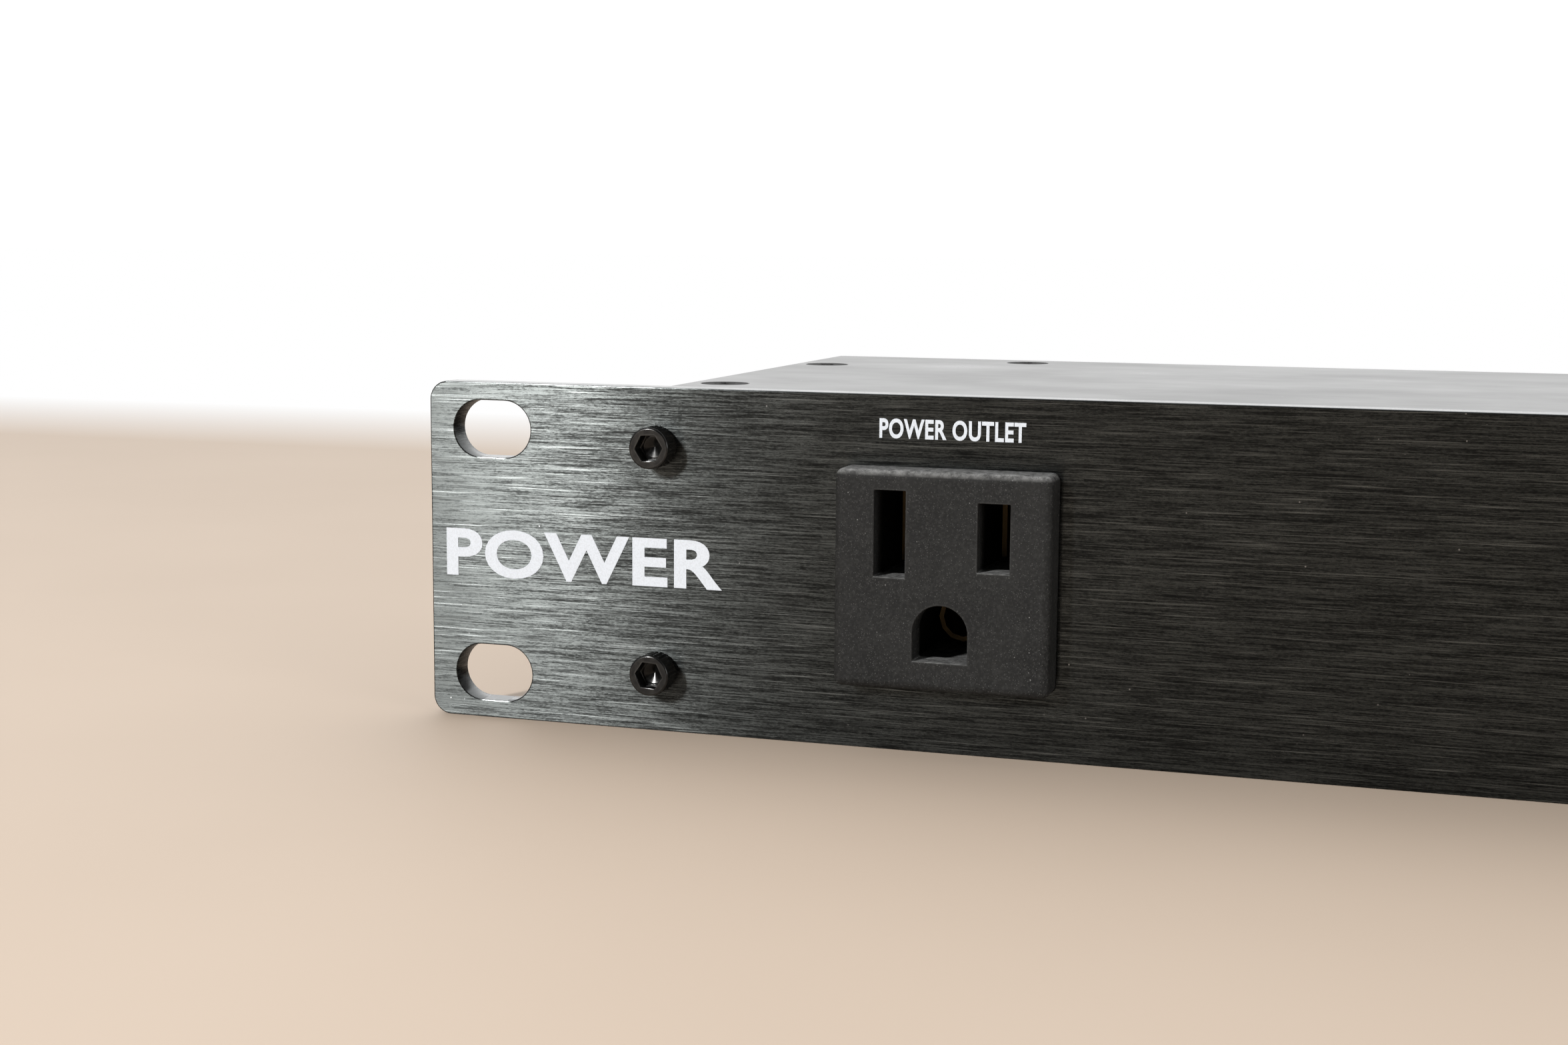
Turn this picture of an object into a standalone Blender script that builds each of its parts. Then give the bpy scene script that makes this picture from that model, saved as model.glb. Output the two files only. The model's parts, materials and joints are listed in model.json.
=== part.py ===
"""A one-unit 19-inch rack power strip with one outlet on the front and eight on the back.

A black aluminium front panel is screwed to a folded steel tray, and a flat steel cover closes the tray.
Lengths below are in millimetres and the scene is in metres. X runs to the right along the panel,
Y from the front to the back and Z up. The origin lies under the middle of the case, on its base.
"""

import math

import bmesh
import bpy
from mathutils import Vector

MM = 0.001
GAP = 0.3  # clearance between pieces that rest on or pass through each other

# Driving dimensions of the rack format and the case.
PANEL_WIDTH = 482.6
PANEL_HEIGHT = 43.7
PANEL_THICK = 3.175
PANEL_CORNER = 2.4
PANEL_EDGE = 0.35
CASE_WIDTH = 431.8
CASE_DEPTH = 101.6  # from the panel's front face to the back of the rear wall
SHEET = 1.2
COVER_TOP = 42.4
SIDE_FLANGE = 11.0
REAR_FLANGE = 12.0
FRONT_FLANGE = 5.0

FRONT = -CASE_DEPTH / 2
REAR = CASE_DEPTH / 2
MIDDLE = PANEL_HEIGHT / 2
TRAY_FRONT = FRONT + PANEL_THICK + GAP
TRAY_TOP = COVER_TOP - SHEET - GAP
INSIDE_FRONT = TRAY_FRONT + SHEET

RACK_SLOT = (10.6, 7.3)
RACK_SLOT_X = PANEL_WIDTH / 2 - 8.75
RACK_SLOT_SPREAD = 31.75

# Socket-head screws that hold the panel, and the countersunk screws of the cover.
PANEL_SCREW_X = PANEL_WIDTH / 2 - 31.5
PANEL_SCREW_ROWS = (7.75, 36.35)
PANEL_HEAD = (2.8, 3.4)  # radius, height above the panel
PANEL_SHANK = (1.6, 12.0)
PANEL_HOLE = 2.05
CLINCH_NUT = (3.6, 3.0)
COVER_SCREWS = (
    (-211.0, -22.3),
    (-211.0, 26.2),
    (-182.3, 43.2),
    (0.0, 43.2),
    (182.3, 43.2),
    (211.0, 26.2),
    (211.0, -22.3),
)
COVER_HEAD = (3.3, 1.55)  # radius and depth of the cone
COVER_SHANK = (1.6, 6.0)
COVER_HOLE = 2.05
CROSS_RECESS = (0.55, 0.4, 0.9)  # arm's reach over the head's radius, half width, depth

# NEMA 5-15 outlets. Their own frame faces -Y, with its origin on the outer face of the wall.
OUTLET_SIDE = 26.5
OUTLET_PROUD = 4.53
OUTLET_DEEP = 23.5
OUTLET_ROUND = 0.9
OUTLET_Z = 21.75
OUTLET_SHOULDER = (30.5, 2.0)
FRONT_OUTLET_X = -172.2
REAR_OUTLETS = 8
REAR_OUTLET_PITCH = 40.0
REAR_OUTLET_FIRST = -188.0
BLADE_X = 6.35
BLADE_Z = 5.6
BLADE_SLOT = 3.9
NEUTRAL_SLOT = 10.5
HOT_SLOT = 8.3
EARTH_RADIUS = 3.38
EARTH_HOLE = (6.76, 6.9)
EARTH_HOLE_Z = -6.2
EARTH_AXIS_Z = -6.13

# Contact clips inside the outlets, and the bus bars that join the rear ones.
CLIP_FRONT = 8.0
CLIP_BACK = 21.5
CLIP_BASE = 1.5
CLIP_WIDTH = BLADE_SLOT - 2 * GAP
CLIP_MOUTH = 2.1
SLEEVE_BORE = 2.5  # radius inside the earth contact
TAB_INSET = 0.1
BAR_END = 12.0  # how far a bus bar runs past its last outlets
TAB_BACK = 27.5
BUS_Y = (25.2, 26.0)
BUS_HEIGHT = {"hot": (-0.5, 4.0), "neutral": (8.05, 12.05), "earth": (-9.5, -5.5)}
TAB_HEIGHT = {"hot": (1.75, 4.0), "neutral": (8.05, 10.55), "earth": (-8.0, -5.6)}

# Rocker switch and indicator at the right of the panel.
SWITCH_X = 190.0
SWITCH_BEZEL = (15.5, 1.4, 21.0)
SWITCH_BODY = (12.9, 21.0, 18.6)
SWITCH_CAVITY = (10.6, 10.0, 17.0)
SWITCH_CORNER = 1.0
SWITCH_AXIS_Y = 0.6
ROCKER_WIDTH = 10.0
ROCKER_RADIUS = 8.2
ROCKER_VALLEY = 2.0
ROCKER_TILT = math.radians(12)
ROCKER_WRAP = math.radians(-40)  # where the round ends stop, behind the axis
TRUNNION = (1.1, 5.8)
TERMINAL = (0.8, 4.8)  # thickness and width of a blade
TERMINAL_Z = 4.5
TERMINAL_ENDS = (10.5, 28.0)
TERMINAL_FLOOR = 9.0
INDICATOR_X = 166.0
INDICATOR_HOLE = 4.2
INDICATOR_FLANGE = (5.0, 1.2)
INDICATOR_BORE = 3.0
INDICATOR_DEEP = 8.0
LAMP_RADIUS = 2.5
LAMP_DEEP = 6.5

# Reset breaker and appliance inlet on the rear wall.
BREAKER_X = 135.0
BREAKER_BODY = (14.0, 25.5, 22.0)
BREAKER_BUSH = (4.8, 3.5)  # radius, and how far it stands out
BREAKER_HOLE = 5.1
BREAKER_BORE = (3.3, 6.0)  # radius and depth
BREAKER_NUT = (8.08, 2.3)  # radius over the corners, and how far it stands out
BUTTON = (3.0, 4.4, 5.0)  # radius, how far it stands out, and its depth
INLET_X = 178.0
INLET_FLANGE = (50.0, 3.0, 22.6)
INLET_BODY = (27.4, 16.7, 19.6)
INLET_CORNER = 4.0
INLET_CAVITY = (24.4, 14.5, 16.4)
INLET_CHAMFER = 3.5
INLET_SCREW_X = 20.0
INLET_SCREW_HOLE = 1.8
INLET_HEAD = (2.9, 1.5)
INLET_SHANK = (1.4, 8.0)
INLET_PINS = {"line": (7.0, -2.0), "neutral": (-7.0, -2.0), "earth": (0.0, 2.0)}
PIN = (2.0, 4.0)
PIN_ENDS = (1.5, 25.0)
PIN_FLOOR = 10.0

# Surge-suppression board and its parts.
BOARD = (80.0, 50.0, 1.6)
BOARD_AT = (70.0, -11.0)
BOARD_BOTTOM = 8.0
BOARD_HOLE = 1.9
BOARD_HOLES = ((-36.0, -21.0), (36.0, -21.0), (-36.0, 21.0), (36.0, 21.0))
STANDOFF = (1.5, 3.0, 2.3)  # radii of its stem, its collar and its barbed nose
EARTH_STUD = (150.0, -8.0)
EARTH_STUD_SIZE = (2.0, 12.0)
EARTH_NUT = (4.62, 3.2, 6.2)  # radius over the corners, bottom, top
VARISTOR = (7.0, 4.4, 2.0)  # radius, thickness, and how far it stands off the board
VARISTORS = ((46.0, -2.0), (46.0, 8.0))
VARISTOR_LEG = (3.75, 0.4)
CAPACITOR = (26.0, 11.0, 19.0)
CAPACITOR_AT = (66.0, -24.0)
CHOKE = (10.0, 4.2)  # radius of the ring, and of its section
CHOKE_AT = (86.0, 0.0)

ROUND = 16  # segments of a small round piece


def collection(name):
    made = bpy.data.collections.new(name)
    bpy.context.scene.collection.children.link(made)
    return made


def clear_scene():
    for obj in list(bpy.data.objects):
        bpy.data.objects.remove(obj, do_unlink=True)


clear_scene()
PARTS = collection("rack_power_strip")
CUTTERS = collection("rack_power_strip_cutters")


# --- materials -----------------------------------------------------------------------------------


def material(name, colour, roughness, metallic=0.0):
    made = bpy.data.materials.new(name)
    made.use_nodes = True
    shader = made.node_tree.nodes["Principled BSDF"]
    shader.inputs["Base Color"].default_value = (*colour, 1.0)
    shader.inputs["Roughness"].default_value = roughness
    shader.inputs["Metallic"].default_value = metallic
    made.diffuse_color = (*colour, 1.0)
    return made


PANEL_BLACK = material("anodised_panel", (0.035, 0.035, 0.04), 0.38, 0.7)
CASE_BLACK = material("powder_coat", (0.05, 0.05, 0.055), 0.5)
OXIDE_BLACK = material("black_oxide_screw", (0.03, 0.03, 0.03), 0.3, 0.9)
OUTLET_BLACK = material("outlet_plastic", (0.03, 0.03, 0.032), 0.6)
GLOSS_BLACK = material("switch_plastic", (0.02, 0.02, 0.02), 0.3)
BRASS = material("contact_brass", (0.78, 0.58, 0.25), 0.35, 1.0)
ZINC = material("zinc_steel", (0.6, 0.6, 0.62), 0.35, 1.0)
LAMP = material("indicator_lens", (0.1, 0.55, 0.15), 0.2)
BOARD_GREEN = material("circuit_board", (0.03, 0.2, 0.07), 0.5)
NYLON = material("nylon", (0.85, 0.84, 0.78), 0.5)
VARISTOR_BLUE = material("varistor_coating", (0.08, 0.2, 0.55), 0.4)
CAPACITOR_YELLOW = material("capacitor_case", (0.75, 0.6, 0.12), 0.4)
FERRITE = material("ferrite", (0.1, 0.22, 0.12), 0.6)
WIRE = {
    "black": material("wire_black", (0.02, 0.02, 0.02), 0.45),
    "white": material("wire_white", (0.8, 0.8, 0.78), 0.45),
    "green": material("wire_green", (0.03, 0.35, 0.1), 0.45),
}


# --- meshes --------------------------------------------------------------------------------------


def closed(name, work):
    """The bmesh as a mesh with faces pointing out, smooth but for its real edges."""
    bmesh.ops.recalc_face_normals(work, faces=work.faces)
    mesh = bpy.data.meshes.new(name)
    work.to_mesh(mesh)
    work.free()
    mesh.shade_smooth()
    mesh.set_sharp_from_angle(angle=math.radians(35))
    return mesh


def boxes(name, spans):
    """One mesh of separate boxes, each given as its low and high corners."""
    work = bmesh.new()
    for low, high in spans:
        low, high = Vector(low), Vector(high)
        corners = bmesh.ops.create_cube(work, size=1.0)["verts"]
        bmesh.ops.scale(work, vec=high - low, verts=corners)
        bmesh.ops.translate(work, vec=(low + high) / 2, verts=corners)
    bmesh.ops.scale(work, vec=(MM, MM, MM), verts=work.verts)
    return closed(name, work)


def box(name, low, high):
    return boxes(name, [(low, high)])


def rods(name, places, low, high, radius, top=None, axis="Y", segments=ROUND):
    """One mesh of like rods or cones at places, running from low to high along Y or Z."""
    work = bmesh.new()
    for place in places:
        verts = bmesh.ops.create_cone(
            work,
            cap_ends=True,
            segments=segments,
            radius1=radius,
            radius2=radius if top is None else top,
            depth=high - low,
        )["verts"]
        bmesh.ops.translate(work, vec=(0, 0, (low + high) / 2), verts=verts)
        for vert in verts:
            x, y, z = vert.co
            # The rod is made along Z, and Y and Z change places for one along Y.
            vert.co = (x, z, y) if axis == "Y" else (x, y, z)
            vert.co += Vector((place[0], 0, place[1]) if axis == "Y" else (place[0], place[1], 0))
    bmesh.ops.scale(work, vec=(MM, MM, MM), verts=work.verts)
    return closed(name, work)


def rod(name, low, high, radius, top=None, axis="Y", at=(0, 0), segments=ROUND):
    return rods(name, [at], low, high, radius, top, axis, segments)


def slabs(name, places, size, low, high, corner, steps=4, top_only=False):
    """Plates that face along Y, each width by height about its place, with rounded corners."""
    work = bmesh.new()
    for x, z in places:
        verts = bmesh.ops.create_cube(work, size=1.0)["verts"]
        bmesh.ops.scale(work, vec=(size[0], high - low, size[1]), verts=verts)
        bmesh.ops.translate(work, vec=(x, (low + high) / 2, z), verts=verts)
        edges = {edge for vert in verts for edge in vert.link_edges}
        along = [
            edge
            for edge in edges
            if abs((edge.verts[0].co - edge.verts[1].co).normalized().y) > 0.9
            and (not top_only or edge.verts[0].co.z > z)
        ]
        bmesh.ops.bevel(work, geom=along, offset=corner, segments=steps, profile=0.5, affect="EDGES")
    bmesh.ops.scale(work, vec=(MM, MM, MM), verts=work.verts)
    return closed(name, work)


def outline(name, points, low, high):
    """A closed outline of (y, z) points, drawn out along X from low to high."""
    work = bmesh.new()
    face = work.faces.new([work.verts.new((low, y, z)) for y, z in points])
    drawn = bmesh.ops.extrude_face_region(work, geom=[face])["geom"]
    moved = [item for item in drawn if isinstance(item, bmesh.types.BMVert)]
    bmesh.ops.translate(work, vec=(high - low, 0, 0), verts=moved)
    bmesh.ops.scale(work, vec=(MM, MM, MM), verts=work.verts)
    return closed(name, work)


# --- objects -------------------------------------------------------------------------------------


def place(name, mesh, look, at=(0, 0, 0), turn=(0, 0, 0)):
    """A part of the strip at a place in millimetres, turned by angles in degrees."""
    obj = bpy.data.objects.new(name, mesh)
    obj.location = Vector(at) * MM
    obj.rotation_euler = [math.radians(angle) for angle in turn]
    PARTS.objects.link(obj)
    if not mesh.materials:
        mesh.materials.append(look)
    return obj


def shape(target, mesh, operation):
    """Cuts a mesh from the target or joins it on. The mesh is in the target's own frame."""
    tool = bpy.data.objects.new(mesh.name + "_cutter", mesh)
    tool.parent = target
    tool.hide_render = True
    tool.display_type = "WIRE"
    CUTTERS.objects.link(tool)
    made = target.modifiers.new(mesh.name, "BOOLEAN")
    made.operation = operation
    made.object = tool
    made.solver = "EXACT"
    return tool


def cut(target, *meshes):
    for mesh in meshes:
        shape(target, mesh, "DIFFERENCE")


def join(target, *meshes):
    for mesh in meshes:
        shape(target, mesh, "UNION")


def soften(target, width, steps=2, angle=40):
    made = target.modifiers.new("rounded_edges", "BEVEL")
    made.width = width * MM
    made.segments = steps
    made.limit_method = "ANGLE"
    made.angle_limit = math.radians(angle)


def turned(name, profile, look, segments=ROUND):
    """A part turned about its own Z from (radius, height) points that run down its outer side."""
    work = bmesh.new()
    verts = [work.verts.new((radius * MM, 0, height * MM)) for radius, height in profile]
    for first, second in zip(verts, verts[1:]):
        work.edges.new((first, second))
    mesh = bpy.data.meshes.new(name)
    work.to_mesh(mesh)
    work.free()
    obj = place(name, mesh, look)
    made = obj.modifiers.new("turned", "SCREW")
    made.steps = segments
    made.render_steps = segments
    made.use_merge_vertices = True
    made.merge_threshold = 0.00001
    made.use_smooth_shade = True
    return obj


def fixed_mesh(obj):
    """The object's finished mesh, ready to be shared. The object and its cutters are removed."""
    bpy.context.view_layer.update()
    graph = bpy.context.evaluated_depsgraph_get()
    mesh = bpy.data.meshes.new_from_object(obj.evaluated_get(graph))
    mesh.name = obj.name
    for tool in list(obj.children):
        bpy.data.objects.remove(tool, do_unlink=True)
    bpy.data.objects.remove(obj, do_unlink=True)
    return mesh


# --- case ----------------------------------------------------------------------------------------


def rack_slot_places():
    return [
        (side * RACK_SLOT_X, MIDDLE + level * RACK_SLOT_SPREAD / 2)
        for side in (-1, 1)
        for level in (-1, 1)
    ]


def panel_screw_places():
    return [(side * PANEL_SCREW_X, z) for side in (-1, 1) for z in PANEL_SCREW_ROWS]


def rear_outlet_places():
    return [REAR_OUTLET_FIRST + n * REAR_OUTLET_PITCH for n in range(REAR_OUTLETS)]


def opening(x, z, width, height, low, high):
    """A rectangular hole for a piece of that width and height, with clearance all round."""
    reach = (width / 2 + GAP, height / 2 + GAP)
    return ((x - reach[0], low, z - reach[1]), (x + reach[0], high, z + reach[1]))


def front_openings(low, high):
    return [
        opening(FRONT_OUTLET_X, OUTLET_Z, OUTLET_SIDE, OUTLET_SIDE, low, high),
        opening(SWITCH_X, MIDDLE, SWITCH_BODY[0], SWITCH_BODY[2], low, high),
    ]


def front_panel():
    back = FRONT + PANEL_THICK
    through = (FRONT - 1, back + 1)
    blank = slabs(
        "front_panel", [(0, MIDDLE)], (PANEL_WIDTH, PANEL_HEIGHT), FRONT, back, PANEL_CORNER
    )
    panel = place("front_panel", blank, PANEL_BLACK)
    soften(panel, PANEL_EDGE, 1)
    slot_end = RACK_SLOT[1] / 2 - 0.01
    cut(
        panel,
        slabs("rack_slots", rack_slot_places(), RACK_SLOT, *through, slot_end, steps=6),
        boxes("panel_openings", front_openings(*through)),
        rods("panel_screw_holes", panel_screw_places(), *through, PANEL_HOLE),
        rod("indicator_hole", *through, INDICATOR_HOLE, at=(INDICATOR_X, MIDDLE)),
    )


def chassis_tray():
    half = CASE_WIDTH / 2
    blank = box("chassis_tray", (-half, TRAY_FRONT, 0), (half, REAR, TRAY_TOP))
    tray = place("chassis_tray", blank, CASE_BLACK)
    side = half - SHEET
    inside_top = TRAY_TOP - SHEET
    cut(
        tray,
        box("tray_inside", (-side, INSIDE_FRONT, SHEET), (side, REAR - SHEET, inside_top)),
        box(
            "tray_mouth",
            (SIDE_FLANGE - side, INSIDE_FRONT + FRONT_FLANGE, inside_top - 1),
            (side - SIDE_FLANGE, REAR - SHEET - REAR_FLANGE, TRAY_TOP + 1),
        ),
    )
    nut_radius, nut_length = CLINCH_NUT
    nuts_end = INSIDE_FRONT + nut_length
    stud_radius, stud_top = EARTH_STUD_SIZE
    join(
        tray,
        rods("clinch_nuts", panel_screw_places(), INSIDE_FRONT - SHEET / 2, nuts_end, nut_radius),
        rod("earth_stud", SHEET / 2, stud_top, stud_radius, axis="Z", at=EARTH_STUD, segments=12),
    )
    through = (TRAY_FRONT - 1, nuts_end + 1)
    rear = (REAR - SHEET - 1, REAR + 1)
    rear_openings = [
        opening(x, OUTLET_Z, OUTLET_SIDE, OUTLET_SIDE, *rear) for x in rear_outlet_places()
    ]
    rear_openings.append(opening(INLET_X, MIDDLE, INLET_BODY[0], INLET_BODY[2], *rear))
    inlet_screws = [(INLET_X + sign * INLET_SCREW_X, MIDDLE) for sign in (-1, 1)]
    board_feet = [(BOARD_AT[0] + x, BOARD_AT[1] + y) for x, y in BOARD_HOLES]
    cut(
        tray,
        boxes("tray_front_openings", front_openings(TRAY_FRONT - 1, INSIDE_FRONT + 1)),
        boxes("tray_rear_openings", rear_openings),
        rods("tray_screw_holes", panel_screw_places(), *through, PANEL_HOLE - 0.15),
        rod("tray_indicator_hole", *through, INDICATOR_HOLE, at=(INDICATOR_X, MIDDLE)),
        rod("breaker_hole", *rear, BREAKER_HOLE, at=(BREAKER_X, MIDDLE)),
        rods("inlet_screw_holes", inlet_screws, *rear, INLET_SCREW_HOLE, segments=12),
        rods("cover_tap_holes", COVER_SCREWS, inside_top - 1, TRAY_TOP + 1, COVER_HOLE, axis="Z"),
        rods("board_foot_holes", board_feet, -1, SHEET + 1, BOARD_HOLE, axis="Z", segments=12),
    )


def top_cover():
    half = CASE_WIDTH / 2
    bottom = COVER_TOP - SHEET
    sheet = box("top_cover", (-half, TRAY_FRONT, bottom), (half, REAR, COVER_TOP))
    cover = place("top_cover", sheet, CASE_BLACK)
    soften(cover, 0.3, 1)
    radius = COVER_HEAD[0] + GAP
    reach = 0.5  # the cone runs past both faces of the cover
    cone = rods(
        "cover_countersinks",
        COVER_SCREWS,
        bottom - reach,
        COVER_TOP + reach,
        radius - SHEET - reach,
        radius + reach,
        axis="Z",
    )
    cut(cover, cone)


# --- fasteners -----------------------------------------------------------------------------------


def cap_screw_mesh():
    """A socket cap screw in its own frame: the head's bearing face at 0, its top at +Z."""
    radius, height = PANEL_HEAD
    shank, length = PANEL_SHANK
    profile = [
        (0, height),
        (radius - 0.3, height),
        (radius, height - 0.3),
        (radius, GAP),
        (shank, GAP),
        (shank, -length),
        (0, -length),
    ]
    screw = turned("panel_screw", profile, OXIDE_BLACK)
    cut(screw, rod("hex_socket", height - 2.0, height + 1, 3.0 / math.sqrt(3), axis="Z", segments=6))
    return fixed_mesh(screw)


def flat_screw_mesh(name, head, shank, look):
    """A countersunk screw with a cross recess, in its own frame: the head's top at 0 and +Z."""
    profile = [(0, 0), (head[0], 0), (shank[0], -head[1]), (shank[0], -shank[1]), (0, -shank[1])]
    screw = turned(name, profile, look, 14)
    reach, half, depth = head[0] * CROSS_RECESS[0], CROSS_RECESS[1], CROSS_RECESS[2]
    cut(
        screw,
        box(name + "_recess_x", (-reach, -half, -depth), (reach, half, 1)),
        box(name + "_recess_y", (-half, -reach, -depth), (half, reach, 1)),
    )
    return fixed_mesh(screw)


def fasteners():
    cap = cap_screw_mesh()
    for number, (x, z) in enumerate(panel_screw_places(), 1):
        place(f"panel_screw_{number}", cap, OXIDE_BLACK, (x, FRONT, z), (90, 0, 0))
    flat = flat_screw_mesh("cover_screw", COVER_HEAD, COVER_SHANK, OXIDE_BLACK)
    for number, (x, y) in enumerate(COVER_SCREWS, 1):
        place(f"cover_screw_{number}", flat, OXIDE_BLACK, (x, y, COVER_TOP), (0, 0, 20 * number))


# --- outlets -------------------------------------------------------------------------------------


def outlet_mesh(shoulder_at):
    """An outlet's moulded body. Its shoulder bears on the wall's inner face."""
    half = OUTLET_SIDE / 2
    blank = box("outlet", (-half, -OUTLET_PROUD, -half), (half, OUTLET_DEEP, half))
    body = place("outlet", blank, OUTLET_BLACK)
    soften(body, OUTLET_ROUND)
    wide, thick = OUTLET_SHOULDER
    join(
        body,
        box(
            "outlet_shoulder",
            (-wide / 2, shoulder_at, -wide / 2),
            (wide / 2, shoulder_at + thick, wide / 2),
        ),
    )
    through = (-OUTLET_PROUD - 1, OUTLET_DEEP + 1)
    slots = []
    for x, height in ((-BLADE_X, NEUTRAL_SLOT), (BLADE_X, HOT_SLOT)):
        low = (x - BLADE_SLOT / 2, through[0], BLADE_Z - height / 2)
        slots.append((low, (x + BLADE_SLOT / 2, through[1], BLADE_Z + height / 2)))
    earth = slabs(
        "earth_hole",
        [(0, EARTH_HOLE_Z)],
        EARTH_HOLE,
        *through,
        EARTH_RADIUS - 0.01,
        steps=6,
        top_only=True,
    )
    cut(body, boxes("blade_slots", slots), earth)
    return fixed_mesh(body)


def clip_spans(kind, centres):
    """The blocks of a blade clip, one for each outlet centre, and the mouths between their leaves."""
    side = -1 if kind == "neutral" else 1
    height = (NEUTRAL_SLOT if kind == "neutral" else HOT_SLOT) - 2 * GAP
    half, mouth = CLIP_WIDTH / 2, CLIP_MOUTH / 2
    blocks, mouths = [], []
    for centre in centres:
        x = centre + side * BLADE_X
        low, high = BLADE_Z - height / 2, BLADE_Z + height / 2
        blocks.append(((x - half, CLIP_FRONT, low), (x + half, CLIP_BACK, high)))
        inner = CLIP_BACK - CLIP_BASE
        mouths.append(((x - mouth, CLIP_FRONT - 1, low - 1), (x + mouth, inner, high + 1)))
    return blocks, mouths


def tab_spans(kind, centres, back):
    offset = {"neutral": -BLADE_X, "hot": BLADE_X, "earth": 0.0}[kind]
    low, high = TAB_HEIGHT[kind]
    half = CLIP_WIDTH / 2 - TAB_INSET
    return [
        ((x + offset - half, CLIP_BACK - 0.5, low), (x + offset + half, back, high))
        for x in centres
    ]


def contact(name, kind, centres, at, turn, bar=False):
    """The contacts of one pole: a clip in each outlet with a tab behind, joined by a bus bar."""
    if kind == "earth":
        places = [(x, EARTH_AXIS_Z) for x in centres]
        sleeve = EARTH_RADIUS - GAP
        inner = CLIP_BACK - CLIP_BASE
        clips = rods(name + "_clips", places, CLIP_FRONT, CLIP_BACK, sleeve, segments=12)
        mouths = rods(name + "_mouths", places, CLIP_FRONT - 1, inner, SLEEVE_BORE, segments=12)
    else:
        blocks, gaps = clip_spans(kind, centres)
        clips, mouths = boxes(name + "_clips", blocks), boxes(name + "_mouths", gaps)
    back = (BUS_Y[0] + BUS_Y[1]) / 2 if bar else TAB_BACK
    tabs = boxes(name + "_tabs", tab_spans(kind, centres, back))
    if bar:
        low, high = BUS_HEIGHT[kind]
        ends = (min(centres) - BAR_END, max(centres) + BAR_END)
        strip = box(name, (ends[0], BUS_Y[0], low), (ends[1], BUS_Y[1], high))
        made = place(name, strip, BRASS, at, turn)
        join(made, tabs, clips)
    else:
        made = place(name, clips, BRASS, at, turn)
        join(made, tabs)
    cut(made, mouths)


def outlets():
    at = (FRONT_OUTLET_X, FRONT, OUTLET_Z)
    front_shoulder = INSIDE_FRONT - FRONT + GAP
    place("front_outlet", outlet_mesh(front_shoulder), OUTLET_BLACK, at)
    for kind in ("hot", "neutral", "earth"):
        contact(f"front_contact_{kind}", kind, [0.0], at, (0, 0, 0))
    shared = outlet_mesh(SHEET + GAP)
    for number, x in enumerate(rear_outlet_places(), 1):
        place(f"rear_outlet_{number}", shared, OUTLET_BLACK, (x, REAR, OUTLET_Z), (0, 0, 180))
    centres = [-x for x in rear_outlet_places()]
    for kind in ("hot", "neutral", "earth"):
        contact(f"bus_bar_{kind}", kind, centres, (0, REAR, OUTLET_Z), (0, 0, 180), bar=True)


# --- switch and indicator ------------------------------------------------------------------------


def rocker_outline():
    """The rocker's (y, z) section about its axis: a shallow valley in front, round ends behind."""
    slope = math.tan(ROCKER_TILT)
    # The front face meets the round end where ROCKER_VALLEY + slope * z reaches the radius.
    bend = slope * ROCKER_VALLEY
    reach = math.sqrt(bend**2 + (1 + slope**2) * (ROCKER_RADIUS**2 - ROCKER_VALLEY**2))
    end = (reach - bend) / (1 + slope**2)
    first = math.atan2(ROCKER_VALLEY + slope * end, end)
    steps = 6
    upper = []
    for step in range(steps + 1):
        angle = first + (ROCKER_WRAP - first) * step / steps
        upper.append((-ROCKER_RADIUS * math.sin(angle), ROCKER_RADIUS * math.cos(angle)))
    lower = [(y, -z) for y, z in reversed(upper)]
    return [(-ROCKER_VALLEY, 0.0), *upper, *lower]


def switch():
    at = (SWITCH_X, FRONT, MIDDLE)
    bezel, body = SWITCH_BEZEL, SWITCH_BODY
    face = -GAP - bezel[1]
    frame = (bezel[0], bezel[2])
    blank = slabs("switch_housing", [(0, 0)], frame, face, -GAP, SWITCH_CORNER, steps=3)
    housing = place("switch_housing", blank, GLOSS_BLACK, at)
    low = (-body[0] / 2, face + bezel[1] / 2, -body[2] / 2)
    join(housing, box("switch_body", low, (body[0] / 2, body[1], body[2] / 2)))
    width, floor, height = SWITCH_CAVITY
    bore = TRUNNION[1] + GAP
    thick, tall = TERMINAL[0] / 2, TERMINAL[1] / 2
    slot = (thick + GAP, tall + GAP)
    heights = (TERMINAL_Z, -TERMINAL_Z)
    slots = [
        ((-slot[0], TERMINAL_FLOOR, z - slot[1]), (slot[0], body[1] + 1, z + slot[1])) for z in heights
    ]
    cut(
        housing,
        box("switch_cavity", (-width / 2, face - 1, -height / 2), (width / 2, floor, height / 2)),
        boxes("terminal_slots", slots),
        outline("trunnion_holes", circle(TRUNNION[0] + GAP, SWITCH_AXIS_Y), -bore, bore),
    )
    near, far = TERMINAL_ENDS
    for number, z in enumerate(heights, 1):
        blade = box("switch_terminal", (-thick, near, z - tall), (thick, far, z + tall))
        place(f"switch_terminal_{number}", blade, BRASS, at)
    half = ROCKER_WIDTH / 2
    axis_at = (SWITCH_X, FRONT + SWITCH_AXIS_Y, MIDDLE)
    paddle = outline("switch_rocker", rocker_outline(), -half, half)
    tilt = (math.degrees(ROCKER_TILT), 0, 0)
    rocker = place("switch_rocker", paddle, GLOSS_BLACK, axis_at, tilt)
    join(rocker, outline("trunnions", circle(TRUNNION[0], 0), -TRUNNION[1], TRUNNION[1]))


def circle(radius, y, segments=12):
    turns = [2 * math.pi * step / segments for step in range(segments)]
    return [(y + radius * math.cos(turn), radius * math.sin(turn)) for turn in turns]


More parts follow.
